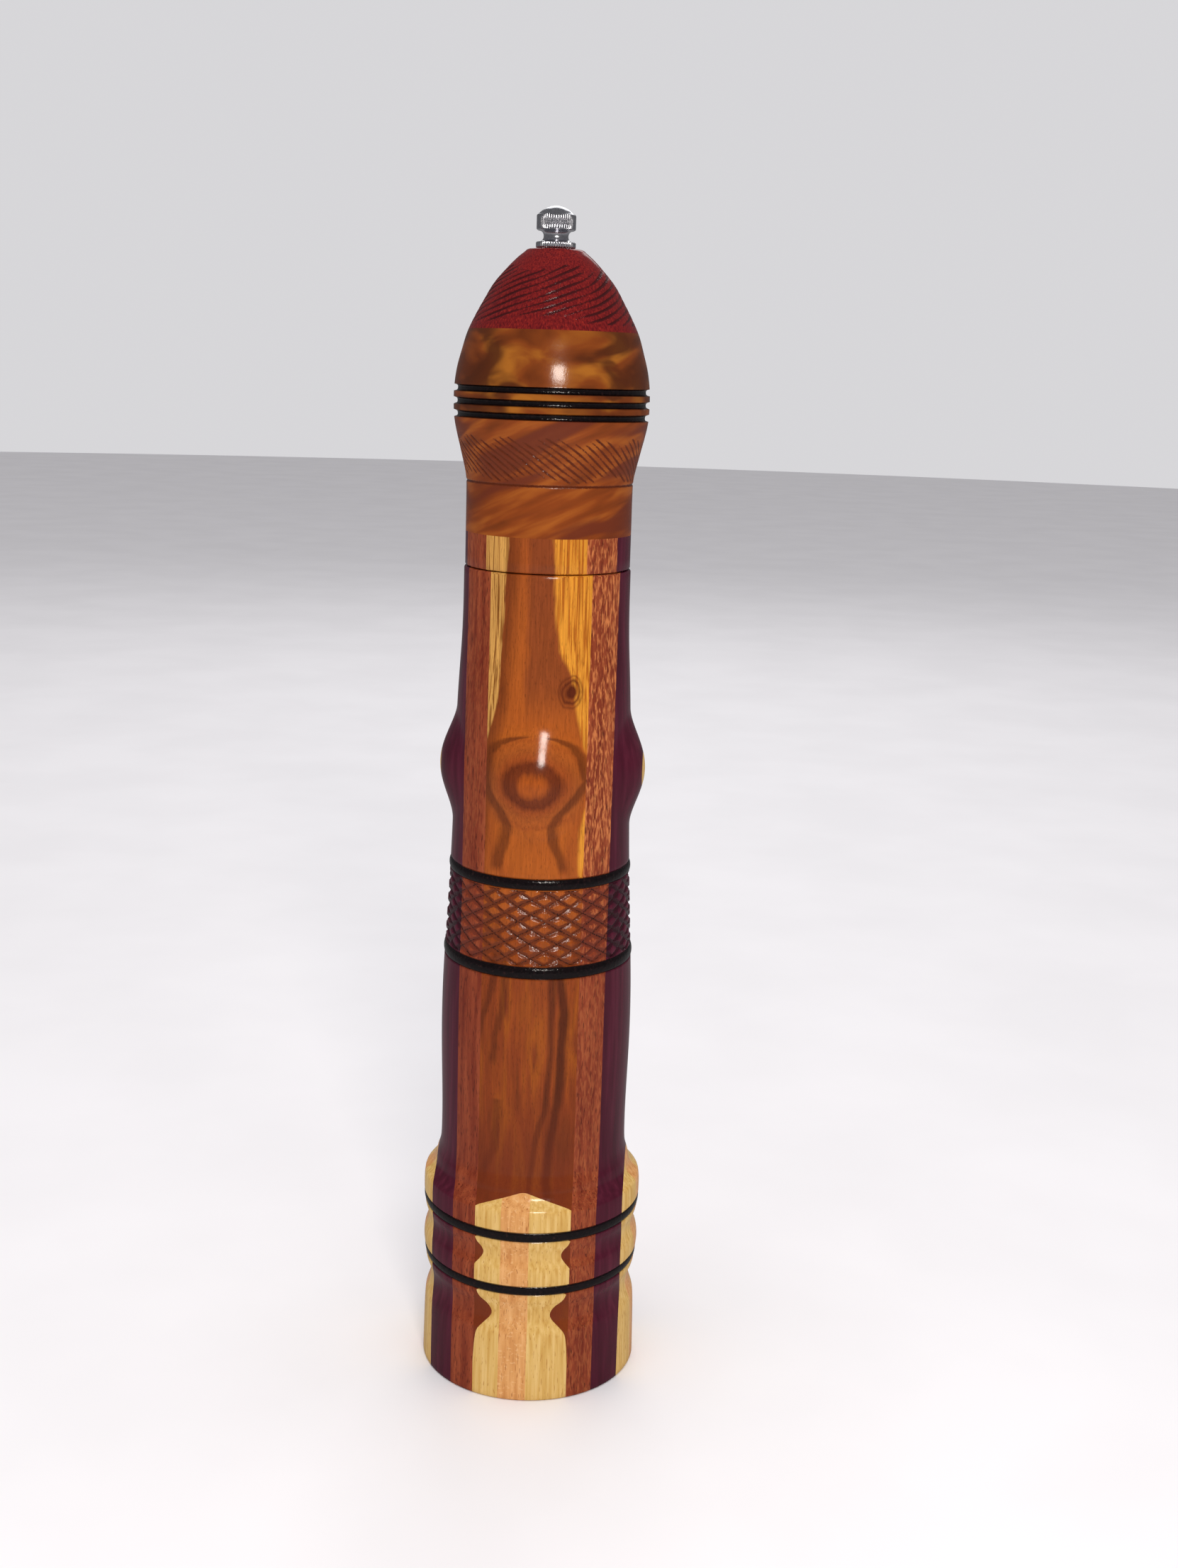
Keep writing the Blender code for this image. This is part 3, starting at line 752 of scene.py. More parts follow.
def lacquered(slot, material, place, shader, colour, cut_colour="#5A3024", deep_colour="#24100C"):
    """Finish a timber's colour with its cuts, its scorched lines and its lacquer."""
    tree = material.node_tree
    # Inside a cut the colour is darker, and darkest along its middle, as the `groove` attribute
    # says.
    cut = add(tree, "Attribute", {"attribute_name": "groove"}, {}).outputs["Fac"]
    rough_edge = add(tree, "TexNoise", {}, {"Vector": add(tree, "Mapping", {}, {
        "Vector": place, "Scale": grain(0.55, 0.55, 0.55)}), "Scale": 1.0, "Detail": 2.0})
    ragged = add(tree, "Math", {"operation": 'MULTIPLY_ADD'}, {0: rough_edge, 1: 0.7, 2: cut})
    in_cut = add(tree, "MapRange", {"interpolation_type": 'SMOOTHSTEP'}, {
        "Value": ragged, "From Min": 0.42, "From Max": 0.72})
    cut_at_all = add(tree, "MapRange", {}, {"Value": cut, "From Max": 0.15})
    in_cut = add(tree, "Math", {"operation": 'MULTIPLY'}, {0: in_cut, 1: cut_at_all})
    cut_look = add(tree, "Mix", {"data_type": 'RGBA'}, {
        0: in_cut, 6: colour, 7: linear(cut_colour)}).outputs[2]
    deepest = add(tree, "MapRange", {"interpolation_type": 'SMOOTHSTEP'}, {
        "Value": ragged, "From Min": 1.1, "From Max": 1.4})
    darker = add(tree, "Mix", {"data_type": 'RGBA'}, {
        0: deepest, 6: cut_look, 7: linear(deep_colour)}).outputs[2]
    burnt = add(tree, "Attribute", {"attribute_name": "burnt"}, {}).outputs["Fac"]
    lumps = add(tree, "TexNoise", {}, {"Vector": add(tree, "Mapping", {}, {
        "Vector": place, "Scale": grain(0.9, 0.9, 0.9)}), "Scale": 1.0, "Detail": 2.0})
    char = add(tree, "ValToRGB", {"stops": [(0.3, "#080405"), (0.6, "#11080B"),
                                            (0.78, "#2A1816")]}, {"Fac": lumps})
    charred = add(tree, "Mix", {"data_type": 'RGBA'}, {
        0: burnt, 6: darker, 7: char.outputs[0]}).outputs[2]
    fibres = add(tree, "TexNoise", {}, {"Vector": add(tree, "Mapping", {}, {
        "Vector": place, "Scale": grain(0.6, 0.6, 1.8)}), "Scale": 1.0, "Detail": 2.0})
    uncut = add(tree, "Math", {"operation": 'MULTIPLY_ADD'}, {0: burnt, 1: 7.0, 2: 0.6})
    unsmooth = add(tree, "Math", {"operation": 'MULTIPLY_ADD'}, {0: in_cut, 1: 9.0, 2: uncut})
    lumpy = add(tree, "Math", {"operation": 'MULTIPLY'}, {0: lumps, 1: unsmooth})
    height = add(tree, "Math", {"operation": 'MULTIPLY_ADD'}, {0: fibres, 1: 0.8, 2: lumpy})
    relief = add(tree, "Bump", {}, {"Strength": 0.6, "Distance": RELIEF_DEEP, "Height": height})
    for socket, source in (("Base Color", charred), ("Normal", relief.outputs[0]),
                           ("Coat Normal", relief.outputs[0])):
        tree.links.new(source, shader.inputs[socket])
    # The wood lies under the coat with no air between, so only the coat mirrors.
    for socket, value in (("Roughness", 0.5), ("Specular IOR Level", 0.0),
                          ("IOR", LACQUER_IOR), ("Coat Weight", COAT_WEIGHT),
                          ("Coat Roughness", 0.15), ("Coat IOR", LACQUER_IOR)):
        shader.inputs[socket].default_value = value
    finishes[slot] = material


# %% [markdown]
# ## The core board
# The middle board is a slab of walnut-like wood cut along its growth rings, so its colour
# depends on how deep in the board a point lies. Carving the front knob laid the rings bare as
# an eye. So one colour ramp is read at each point's depth, bent a little by slow noise. Three
# kinds of figure run up the board instead, and noise would never put them where they grew: the
# dark lines of the belly and the arch round the knob, the straw sapwood along both edges of the
# neck, and a knot beside it. Each line has a border, whose distance from the axis is a second
# ramp, read at the point's height.

# %% Core finish: rings by depth
CORE_RINGS = [                 # depth in mm from the board's middle plane, and colour there
    (25.0, "#8E4418"), (27.0, "#9C4C1E"), (28.2, "#A9561E"), (29.4, "#A8541C"),
    (30.2, "#AC581C"), (30.7, "#A2501C"), (31.1, "#A6541E"), (31.8, "#9E501E"),
    (32.7, "#97481C"), (33.3, "#6A2E14"), (33.9, "#703216"), (34.4, "#A9521A"),
    (34.75, "#7E3A16"), (35.1, "#A4501C"), (36.0, "#A04C1C")]
DEPTH_FROM, DEPTH_TO = CORE_RINGS[0][0], CORE_RINGS[-1][0]
RING_BOW = 0.0205              # the rings curve round the tree, so depth grows with x squared
material, tree, place, shader = new_finish("walnut_core_lacquered")
axes = add(tree, "SeparateXYZ", {}, {0: add(tree, "Mapping", {}, {
    "Vector": place, "Scale": grain(1, 1, 1)})})
across_board = add(tree, "Math", {"operation": 'ABSOLUTE'}, {0: axes.outputs["Y"]})
squared = add(tree, "Math", {"operation": 'MULTIPLY'}, {
    0: axes.outputs["X"], 1: axes.outputs["X"]})
bowed = add(tree, "Math", {"operation": 'MULTIPLY_ADD'}, {
    0: squared, 1: RING_BOW, 2: across_board})
SLOW = 2.6                     # how far slow bends move the rings, in mm
WAVY = 0.45                    # and small waves
slow = add(tree, "TexNoise", {}, {"Vector": add(tree, "Mapping", {}, {
    "Vector": place, "Scale": grain(13, 40, 48), "Location": (3.1, 0.4, 1.7)}),
    "Scale": 1.0, "Detail": 1.0})
bent = add(tree, "Math", {"operation": 'MULTIPLY_ADD'}, {0: slow, 1: SLOW, 2: bowed})
wavy = add(tree, "TexNoise", {}, {"Vector": add(tree, "Mapping", {}, {
    "Vector": place, "Scale": grain(1.3, 1.3, 14)}), "Scale": 1.0, "Detail": 2.0})
depth = add(tree, "Math", {"operation": 'MULTIPLY_ADD'}, {0: wavy, 1: WAVY, 2: bent})
middle = (SLOW + WAVY) / 2     # what the noise adds on average
share = add(tree, "MapRange", {}, {"Value": depth, "From Min": DEPTH_FROM + middle,
                                   "From Max": DEPTH_TO + middle})
rings = add(tree, "ValToRGB", {"stops": [
    ((at - DEPTH_FROM) / (DEPTH_TO - DEPTH_FROM), colour) for at, colour in CORE_RINGS]},
    {"Fac": share})

# %% Core finish: borders
BORDER_REACH = 20.0            # mm from the axis that a full shade stands for


def border(stops):
    """A shade ramp over height that gives a border's distance from the axis, as a share of
    BORDER_REACH. The stops are (height, distance) in mm."""
    low, high = stops[0][0], stops[-1][0]
    up = add(tree, "MapRange", {}, {"Value": axes.outputs["Z"], "From Min": low,
                                    "From Max": high})
    shades = []
    for z, distance in stops:
        shade = distance / BORDER_REACH
        level = round(255 * (12.92 * shade if shade < 0.0031308
                             else 1.055 * shade ** (1 / 2.4) - 0.055))
        shades.append(((z - low) / (high - low), "#" + 3 * ("%02X" % level)))
    return add(tree, "ValToRGB", {"stops": shades}, {"Fac": up})


def past_border(side, stops, waver_size):
    """How far out past a border a point is, in mm; `side` is 1 for right and -1 for left."""
    inward = add(tree, "Math", {"operation": 'MULTIPLY'}, {0: border(stops), 1: -BORDER_REACH})
    off = add(tree, "Math", {"operation": 'MULTIPLY_ADD'}, {
        0: axes.outputs["X"], 1: float(side), 2: inward})
    return add(tree, "Math", {"operation": 'MULTIPLY_ADD'}, {0: waver, 1: waver_size, 2: off})


waver = add(tree, "TexNoise", {}, {"Vector": add(tree, "Mapping", {}, {
    "Vector": place, "Scale": grain(3, 3, 12)}), "Scale": 1.0, "Detail": 3.0})
print("border shades reach", BORDER_REACH, "mm either side of the axis")

# %% Core finish: the belly and its dark lines
BELLY_TOP = 158.0              # below here the belly's own colours, above BELLY_GONE the rings'
BELLY_GONE = 176.0
flames = add(tree, "TexNoise", {}, {"Vector": add(tree, "Mapping", {}, {
    "Vector": place, "Scale": grain(5, 30, 38)}), "Scale": 1.0, "Detail": 2.0})
belly_rings = add(tree, "ValToRGB", {"stops": [
    (0.30, "#703412"), (0.42, "#843A16"), (0.52, "#8E4216"), (0.62, "#984C14"),
    (0.72, "#7C3616")]}, {"Fac": flames})
on_belly = add(tree, "MapRange", {"interpolation_type": 'SMOOTHSTEP'}, {
    "Value": axes.outputs["Z"], "From Min": BELLY_TOP, "From Max": BELLY_GONE, "To Min": 1.0,
    "To Max": 0.0})
coloured = add(tree, "Mix", {"data_type": 'RGBA'}, {
    0: on_belly, 6: rings.outputs[0], 7: belly_rings.outputs[0]}).outputs[2]
LINE_WAVER = 1.6
LINE_STARTS = 4.0              # mm of height over which a line grows in at its lower end
LINE_ENDS = 1.2                # and fades at its upper end
BELLY_LINES = [                # side, (height, distance) stops, inside, outside, strength
    (1, [(70, 7.9), (79, 6.5), (92, 7.4), (107, 9.7), (119, 10.3), (138, 10.9), (158, 8.6)],
     1.6, 3.2, 0.85),
    (1, [(70, 0.9), (80, 1.5), (92, 2.6), (104, 5.6), (125, 7.4), (158, 6.6)], 1.2, 2.0, 0.6),
    (-1, [(70, 15.5), (80, 14.1), (89, 10.6), (98, 9.7), (108, 9.4)], 1.8, 3.0, 0.5),
    (-1, [(118, 11.6), (129, 10.9), (138, 8.5), (145, 7.9), (158, 8.4)], 1.6, 2.6, 0.5),
    (-1, [(126, 17.0), (134, 15.6), (141, 13.2), (150, 11.6), (160, 11.2)], 1.2, 2.2, 0.55)]


def dark_line(colour, side, stops, inside, outside, strength):
    """Darken a line along a border, fading over `inside` mm towards the axis and `outside` mm
    away from it."""
    off = past_border(side, stops, LINE_WAVER)
    crest = LINE_WAVER / 2     # what the waver adds on average
    rise = add(tree, "MapRange", {"interpolation_type": 'SMOOTHSTEP'}, {
        "Value": off, "From Min": crest - inside, "From Max": crest, "To Max": strength})
    fall = add(tree, "MapRange", {"interpolation_type": 'SMOOTHSTEP'}, {
        "Value": off, "From Min": crest + outside / 3, "From Max": crest + outside,
        "To Min": 1.0, "To Max": 0.0})
    bottom, top = stops[0][0], stops[-1][0]
    ended = add(tree, "MapRange", {"interpolation_type": 'SMOOTHSTEP'}, {
        "Value": axes.outputs["Z"], "From Min": top - LINE_ENDS, "From Max": top,
        "To Min": 1.0, "To Max": 0.0})
    begun = add(tree, "MapRange", {"interpolation_type": 'SMOOTHSTEP'}, {
        "Value": axes.outputs["Z"], "From Min": bottom, "From Max": bottom + LINE_STARTS})
    dark = rise
    for factor in (fall, ended, begun):
        dark = add(tree, "Math", {"operation": 'MULTIPLY'}, {0: dark, 1: factor})
    return add(tree, "Mix", {"data_type": 'RGBA'}, {
        0: dark, 6: colour, 7: linear("#4A1E0C")}).outputs[2]


for line in BELLY_LINES:
    coloured = dark_line(coloured, *line)
print("belly lines:", len(BELLY_LINES))

# %% Core finish: the heart stripe and the arch round the knob
EYE_ARCH = [                   # side, (height, distance) stops, inside, outside, strength
    (-1, [(184, 11.5), (191, 10.4), (196, 8.7), (201, 7.5), (205, 9.6), (208, 12.0),
          (212, 14.8), (216, 15.9), (224, 14.8), (227.5, 11.5), (229.6, 7.0), (231.4, 0.0)],
     1.6, 4.6, 0.62),
    (1, [(184, 9.5), (191, 7.7), (196, 5.4), (201, 4.9), (205, 6.8), (208, 10.0),
         (212, 13.2), (216, 15.6), (224, 13.8), (227.5, 11.0), (229.6, 7.0), (231.4, 0.0)],
     1.6, 3.8, 0.62)]
heart_edge = add(tree, "Math", {"operation": 'MULTIPLY_ADD'}, {
    0: waver, 1: 5.0, 2: axes.outputs["X"]})
heart_side = add(tree, "MapRange", {"interpolation_type": 'SMOOTHSTEP'}, {
    "Value": heart_edge, "From Min": -2.8, "From Max": 0.6})
heart_high = add(tree, "MapRange", {"interpolation_type": 'SMOOTHSTEP'}, {
    "Value": axes.outputs["Z"], "From Min": 231.0, "From Max": 250.0, "To Max": 0.7})
heart = add(tree, "Math", {"operation": 'MULTIPLY'}, {0: heart_side, 1: heart_high})
coloured = add(tree, "Mix", {"data_type": 'RGBA'}, {
    0: heart, 6: coloured, 7: linear("#7A3A1E")}).outputs[2]
for line in EYE_ARCH:
    coloured = dark_line(coloured, *line)
print("arch lines:", len(EYE_ARCH))

# %% Core finish: sapwood
SAPWOOD = [                    # side, border, shadow beside it, width of its edge, two straws
    (1, [(182, 20.0), (184, 14.4), (200, 14.2), (206, 15.6), (212, 17.4), (222, 17.4),
         (228, 14.8), (236, 12.5), (250, 10.5), (258, 6.5), (270, 4.8), (294, 3.8)],
     0.0, 1.8, "#AE601A", "#DC9230"),
    (-1, [(190, 20.0), (228, 16.6), (240, 13.4), (262, 11.8), (280, 11.0), (294, 10.4)],
     0.75, 0.8, "#84501E", "#D09A50")]
straw = add(tree, "TexNoise", {}, {"Vector": add(tree, "Mapping", {}, {
    "Vector": place, "Scale": grain(0.5, 0.5, 30)}), "Scale": 1.0, "Detail": 2.0})
for side, stops, shadow_share, edge, dark, light in SAPWOOD:
    beyond = past_border(side, stops, 2.4)
    shadow = add(tree, "MapRange", {"interpolation_type": 'SMOOTHSTEP'}, {
        "Value": beyond, "From Min": -5.0, "From Max": 0.2, "To Max": shadow_share})
    coloured = add(tree, "Mix", {"data_type": 'RGBA'}, {
        0: shadow, 6: coloured, 7: linear("#6A3012")}).outputs[2]
    mask = add(tree, "MapRange", {"interpolation_type": 'SMOOTHSTEP'}, {
        "Value": beyond, "From Min": 0.6, "From Max": 0.6 + edge})
    sapwood = add(tree, "ValToRGB", {"stops": [(0.38, dark), (0.52, light)]}, {"Fac": straw})
    coloured = add(tree, "Mix", {"data_type": 'RGBA'}, {
        0: mask, 6: coloured, 7: sapwood.outputs[0]}).outputs[2]
print("sapwood borders:", len(SAPWOOD))

# %% Core finish: knot, streaks and pores
KNOT_X, KNOT_Z = 10.4, 245.0   # its middle
KNOT_WIDE, KNOT_TALL = 4.6, 6.0              # half its sizes
knot = add(tree, "TexGradient", {"gradient_type": 'SPHERICAL'}, {"Vector": add(
    tree, "Mapping", {}, {"Vector": place, "Scale": (1 / (KNOT_WIDE * MM), 0, 1 / (KNOT_TALL * MM)),
                          "Location": (-KNOT_X / KNOT_WIDE, 0, -KNOT_Z / KNOT_TALL)})})
gnarled = add(tree, "Math", {"operation": 'MULTIPLY_ADD'}, {
    0: waver, 1: 0.5, 2: knot.outputs["Fac"]})
eye = add(tree, "ValToRGB", {"stops": [(0.3, "#000000"), (0.42, "#C0C0C0"), (0.52, "#606060"),
                                       (0.66, "#F0F0F0"), (0.8, "#909090"), (1.0, "#FFFFFF")]},
          {"Fac": gnarled})
seen_knot = add(tree, "Math", {"operation": 'GREATER_THAN'}, {0: knot.outputs["Fac"], 1: 0.02})
eye_share = add(tree, "Math", {"operation": 'MULTIPLY'}, {0: eye, 1: seen_knot})
knotted = add(tree, "Mix", {"data_type": 'RGBA'}, {
    0: eye_share, 6: coloured, 7: linear("#5A2410")}).outputs[2]
streaks = add(tree, "TexNoise", {}, {"Vector": add(tree, "Mapping", {}, {
    "Vector": place, "Scale": grain(0.6, 0.6, 12)}), "Scale": 1.0, "Detail": 3.0})
lighter = add(tree, "MapRange", {}, {"Value": streaks, "From Min": 0.3, "From Max": 0.7,
                                     "To Min": 0.82, "To Max": 1.12})
fine_pores = add(tree, "TexNoise", {}, {"Vector": add(tree, "Mapping", {}, {
    "Vector": place, "Scale": grain(0.32, 0.32, 2.2)}), "Scale": 1.0, "Detail": 1.0})
unpored = add(tree, "MapRange", {}, {"Value": fine_pores, "From Min": 0.6, "From Max": 0.7,
                                     "To Min": 1.0, "To Max": 0.72})
lighter = add(tree, "Math", {"operation": 'MULTIPLY'}, {0: lighter, 1: unpored})
figured = add(tree, "HueSaturation", {}, {"Color": knotted, "Value": lighter})
near_foot = add(tree, "MapRange", {"interpolation_type": 'SMOOTHSTEP'}, {
    "Value": axes.outputs["Z"], "From Min": 72.0, "From Max": 118.0, "To Min": 0.7,
    "To Max": 0.0})
shaded = add(tree, "Mix", {"data_type": 'RGBA'}, {
    0: near_foot, 6: figured, 7: linear("#6A2A14")}).outputs[2]
lacquered("walnut_core", material, place, shader, shaded, cut_colour="#70341A",
          deep_colour="#34160E")

# %% [markdown]
# ## Mahogany and purpleheart
# The boards beside the core are mahogany, red brown with open pores that show as short dark
# dashes, and with paler orange flecks where the grain dips. On the right-hand board the flecks
# are painted stronger, a painted sheen of flecks catching the lamp on the right. The outer boards
# are purpleheart, which darkens to a deep purple brown with hardly any figure. Both are long noise
# along the grain, a pore or fleck being where the noise passes a limit.

# %% Mahogany
material, tree, place, shader = new_finish("mahogany_lacquered")
figure = add(tree, "TexNoise", {}, {"Vector": add(tree, "Mapping", {}, {
    "Vector": place, "Scale": grain(2.2, 2.2, 40)}), "Scale": 1.0, "Detail": 4.0})
ground = add(tree, "ValToRGB", {"stops": [(0.3, "#6E2818"), (0.5, "#853A22"), (0.7, "#98492B")]},
             {"Fac": figure})
flecks = add(tree, "TexNoise", {}, {"Vector": add(tree, "Mapping", {}, {
    "Vector": place, "Scale": grain(0.7, 0.7, 3.2)}), "Scale": 1.0, "Detail": 2.0,
    "Distortion": 0.3})
patches = add(tree, "TexNoise", {}, {"Vector": add(tree, "Mapping", {}, {
    "Vector": place, "Scale": grain(9, 30, 30)}), "Scale": 1.0})
flecked = add(tree, "Math", {"operation": 'MULTIPLY_ADD'}, {0: patches, 1: 0.25, 2: flecks})
axes = add(tree, "SeparateXYZ", {}, {0: add(tree, "Mapping", {}, {
    "Vector": place, "Scale": grain(1, 1, 1)})})
in_neck = add(tree, "MapRange", {}, {"Value": axes.outputs["Z"], "From Min": 155.0,
                                     "From Max": 200.0, "To Min": 0.12, "To Max": 0.5})
# The pale flecks are made stronger on the right-hand board: a painted sheen, the flecks catching
# the lamp on the right.
fleck_sheen_on_right = add(tree, "MapRange", {}, {"Value": axes.outputs["X"], "From Min": -1.0,
                                      "From Max": 1.0, "To Min": 0.3, "To Max": 1.9})
most = add(tree, "Math", {"operation": 'MULTIPLY'}, {0: in_neck, 1: fleck_sheen_on_right})
fleck_mask = add(tree, "MapRange", {}, {"Value": flecked, "From Min": 0.58, "From Max": 0.76,
                                        "To Max": most})
flecks_and_sheen = add(tree, "Mix", {"data_type": 'RGBA'}, {
    0: fleck_mask, 6: ground, 7: linear("#CC7A46")}).outputs[2]
pores = add(tree, "TexNoise", {}, {"Vector": add(tree, "Mapping", {}, {
    "Vector": place, "Scale": grain(0.4, 0.4, 3.5), "Location": (0.5, 0.5, 0.5)}),
    "Scale": 1.0, "Detail": 1.0})
pore_mask = add(tree, "MapRange", {}, {"Value": pores, "From Min": 0.6, "From Max": 0.68,
                                       "To Max": 0.75})
pored = add(tree, "Mix", {"data_type": 'RGBA'}, {
    0: pore_mask, 6: flecks_and_sheen, 7: linear("#4A1A10")}).outputs[2]
lacquered("mahogany", material, place, shader, pored, cut_colour="#6E3020")

# %% Purpleheart
material, tree, place, shader = new_finish("purpleheart_lacquered")
figure = add(tree, "TexNoise", {}, {"Vector": add(tree, "Mapping", {}, {
    "Vector": place, "Scale": grain(2.4, 2.4, 34)}), "Scale": 1.0, "Detail": 3.0})
ground = add(tree, "ValToRGB", {"stops": [(0.3, "#401020"), (0.5, "#4A1426"), (0.7, "#561C2E")]},
             {"Fac": figure})
lacquered("purpleheart", material, place, shader, ground.outputs[0], cut_colour="#34101C")

# %% [markdown]
# ## Maple and cherry
# The foot's strips are pale: straw-coloured maple, even and close grained with a few brown
# flecks, and between them cherry, pinker, with short dark gum lines and pale shining rays.

# %% Maple
material, tree, place, shader = new_finish("maple_lacquered")
figure = add(tree, "TexNoise", {}, {"Vector": add(tree, "Mapping", {}, {
    "Vector": place, "Scale": grain(1.1, 1.1, 26)}), "Scale": 1.0, "Detail": 4.0})
ground = add(tree, "ValToRGB", {"stops": [(0.3, "#C89A4E"), (0.5, "#D8B066"), (0.7, "#E4C07C")]},
             {"Fac": figure})
flecks = add(tree, "TexNoise", {}, {"Vector": add(tree, "Mapping", {}, {
    "Vector": place, "Scale": grain(0.45, 0.45, 3.2)}), "Scale": 1.0, "Detail": 1.0})
fleck_mask = add(tree, "MapRange", {}, {"Value": flecks, "From Min": 0.64, "From Max": 0.72,
                                        "To Max": 0.7})
flecked = add(tree, "Mix", {"data_type": 'RGBA'}, {
    0: fleck_mask, 6: ground, 7: linear("#B07A3C")}).outputs[2]
lacquered("maple", material, place, shader, flecked, cut_colour="#7A4A20")

# %% Cherry
material, tree, place, shader = new_finish("cherry_lacquered")
figure = add(tree, "TexNoise", {}, {"Vector": add(tree, "Mapping", {}, {
    "Vector": place, "Scale": grain(1.4, 1.4, 22)}), "Scale": 1.0, "Detail": 4.0})
ground = add(tree, "ValToRGB", {"stops": [(0.3, "#C8884E"), (0.5, "#D89C5E"), (0.7, "#E4AC70")]},
             {"Fac": figure})
rays = add(tree, "TexNoise", {}, {"Vector": add(tree, "Mapping", {}, {
    "Vector": place, "Scale": grain(1.3, 1.3, 0.8)}), "Scale": 1.0, "Detail": 1.0})
ray_mask = add(tree, "MapRange", {}, {"Value": rays, "From Min": 0.6, "From Max": 0.72,
                                      "To Max": 0.5})
shining = add(tree, "Mix", {"data_type": 'RGBA'}, {
    0: ray_mask, 6: ground, 7: linear("#ECC08A")}).outputs[2]
gum = add(tree, "TexNoise", {}, {"Vector": add(tree, "Mapping", {}, {
    "Vector": place, "Scale": grain(0.4, 0.4, 3.6), "Location": (2.5, 0.1, 0.9)}),
    "Scale": 1.0, "Detail": 1.0})
gum_mask = add(tree, "MapRange", {}, {"Value": gum, "From Min": 0.64, "From Max": 0.71,
                                      "To Max": 0.65})
gummed = add(tree, "Mix", {"data_type": 'RGBA'}, {
    0: gum_mask, 6: shining, 7: linear("#985426")}).outputs[2]
lacquered("cherry", material, place, shader, gummed, cut_colour="#6A3A1C")

# %% [markdown]
# ## The head's timbers
# The cap is bloodwood, deep red with bright fibres. The dome is walnut with a burr's dark swirls
# on its flanks, and the collar below it is a plainer piece, set with its figure slanting, so
# broad darker bands climb to the right.

# %% Bloodwood
material, tree, place, shader = new_finish("bloodwood_lacquered")
figure = add(tree, "TexNoise", {}, {"Vector": add(tree, "Mapping", {}, {
    "Vector": place, "Scale": grain(0.5, 0.5, 9)}), "Scale": 1.0, "Detail": 3.0})
ground = add(tree, "ValToRGB", {"stops": [(0.32, "#500E12"), (0.5, "#681517"), (0.66, "#7C1E1A")]},
             {"Fac": figure})
specks = add(tree, "TexNoise", {}, {"Vector": add(tree, "Mapping", {}, {
    "Vector": place, "Scale": grain(0.45, 0.45, 2.6)}), "Scale": 1.0, "Detail": 1.0})
speck_mask = add(tree, "MapRange", {}, {"Value": specks, "From Min": 0.6, "From Max": 0.7,
                                        "To Max": 0.7})
specked = add(tree, "Mix", {"data_type": 'RGBA'}, {
    0: speck_mask, 6: ground, 7: linear("#8E261C")}).outputs[2]
lacquered("bloodwood", material, place, shader, specked, cut_colour="#3E1012",
          deep_colour="#1C0608")

# %% Dome walnut
material, tree, place, shader = new_finish("burr_walnut_lacquered")
figure = add(tree, "TexNoise", {}, {"Vector": add(tree, "Mapping", {}, {
    "Vector": place, "Scale": grain(15, 20, 9), "Location": (0.2, 0.0, 0.6)}),
    "Scale": 1.0, "Detail": 3.0, "Roughness": 0.4, "Distortion": 0.6})
ground = add(tree, "ValToRGB", {"stops": [(0.32, "#5A280E"), (0.5, "#7C3C14"), (0.66, "#A0601E")]},
             {"Fac": figure})
axes = add(tree, "SeparateXYZ", {}, {0: add(tree, "Mapping", {}, {
    "Vector": place, "Scale": grain(1, 1, 1)})})
out_from_middle = add(tree, "Math", {"operation": 'ABSOLUTE'}, {0: axes.outputs["X"]})
flank = add(tree, "MapRange", {"interpolation_type": 'SMOOTHSTEP'}, {
    "Value": out_from_middle, "From Min": 6.0, "From Max": 24.0, "To Min": -0.1, "To Max": 0.12})
swirls = add(tree, "TexNoise", {}, {"Vector": add(tree, "Mapping", {}, {
    "Vector": place, "Scale": grain(17, 20, 9), "Location": (0.3, 0.0, 0.2)}),
    "Scale": 1.0, "Detail": 2.0, "Roughness": 0.4, "Distortion": 0.8})
swirl_level = add(tree, "Math", {"operation": 'ADD'}, {0: swirls, 1: flank})
swirl_mask = add(tree, "MapRange", {"interpolation_type": 'SMOOTHSTEP'}, {
    "Value": swirl_level, "From Min": 0.46, "From Max": 0.7, "To Max": 0.9})
swirled = add(tree, "Mix", {"data_type": 'RGBA'}, {
    0: swirl_mask, 6: ground, 7: linear("#4A220E")}).outputs[2]
lacquered("dome_walnut", material, place, shader, swirled, cut_colour="#2A1008")

# %% Collar walnut
SLANT = (0, radians(-24), 0)   # a texture mapping turns before it scales, so the grain slants
material, tree, place, shader = new_finish("collar_walnut_lacquered")
figure = add(tree, "TexNoise", {}, {"Vector": add(tree, "Mapping", {"vector_type": 'TEXTURE'}, {
    "Vector": place, "Rotation": SLANT, "Scale": (0.022, 0.02, 0.0034)}),
    "Scale": 1.0, "Detail": 2.0, "Distortion": 0.3})
ground = add(tree, "ValToRGB", {"stops": [(0.3, "#703412"), (0.5, "#863F16"), (0.7, "#A0561E")]},
             {"Fac": figure})
slanting = add(tree, "TexNoise", {}, {"Vector": add(tree, "Mapping", {"vector_type": 'TEXTURE'}, {
    "Vector": place, "Rotation": SLANT, "Scale": (0.044, 0.03, 0.0075)}),
    "Scale": 1.0, "Detail": 1.0, "Distortion": 0.4})
band_mask = add(tree, "MapRange", {"interpolation_type": 'SMOOTHSTEP'}, {
    "Value": slanting, "From Min": 0.48, "From Max": 0.6, "To Max": 0.85})
banded = add(tree, "Mix", {"data_type": 'RGBA'}, {
    0: band_mask, 6: ground, 7: linear("#662C1A")}).outputs[2]
lacquered("collar_walnut", material, place, shader, banded, cut_colour="#5E2812")

# %% [markdown]
# ## Metals
# The nut is plated with bright chrome, the shaft, bars and screws are cold-drawn steel with a thin
# zinc coat, and the grinding parts are hardened, which leaves them dark. Drawn steel shows fine
# lines along its length, so its roughness varies with stretched noise.

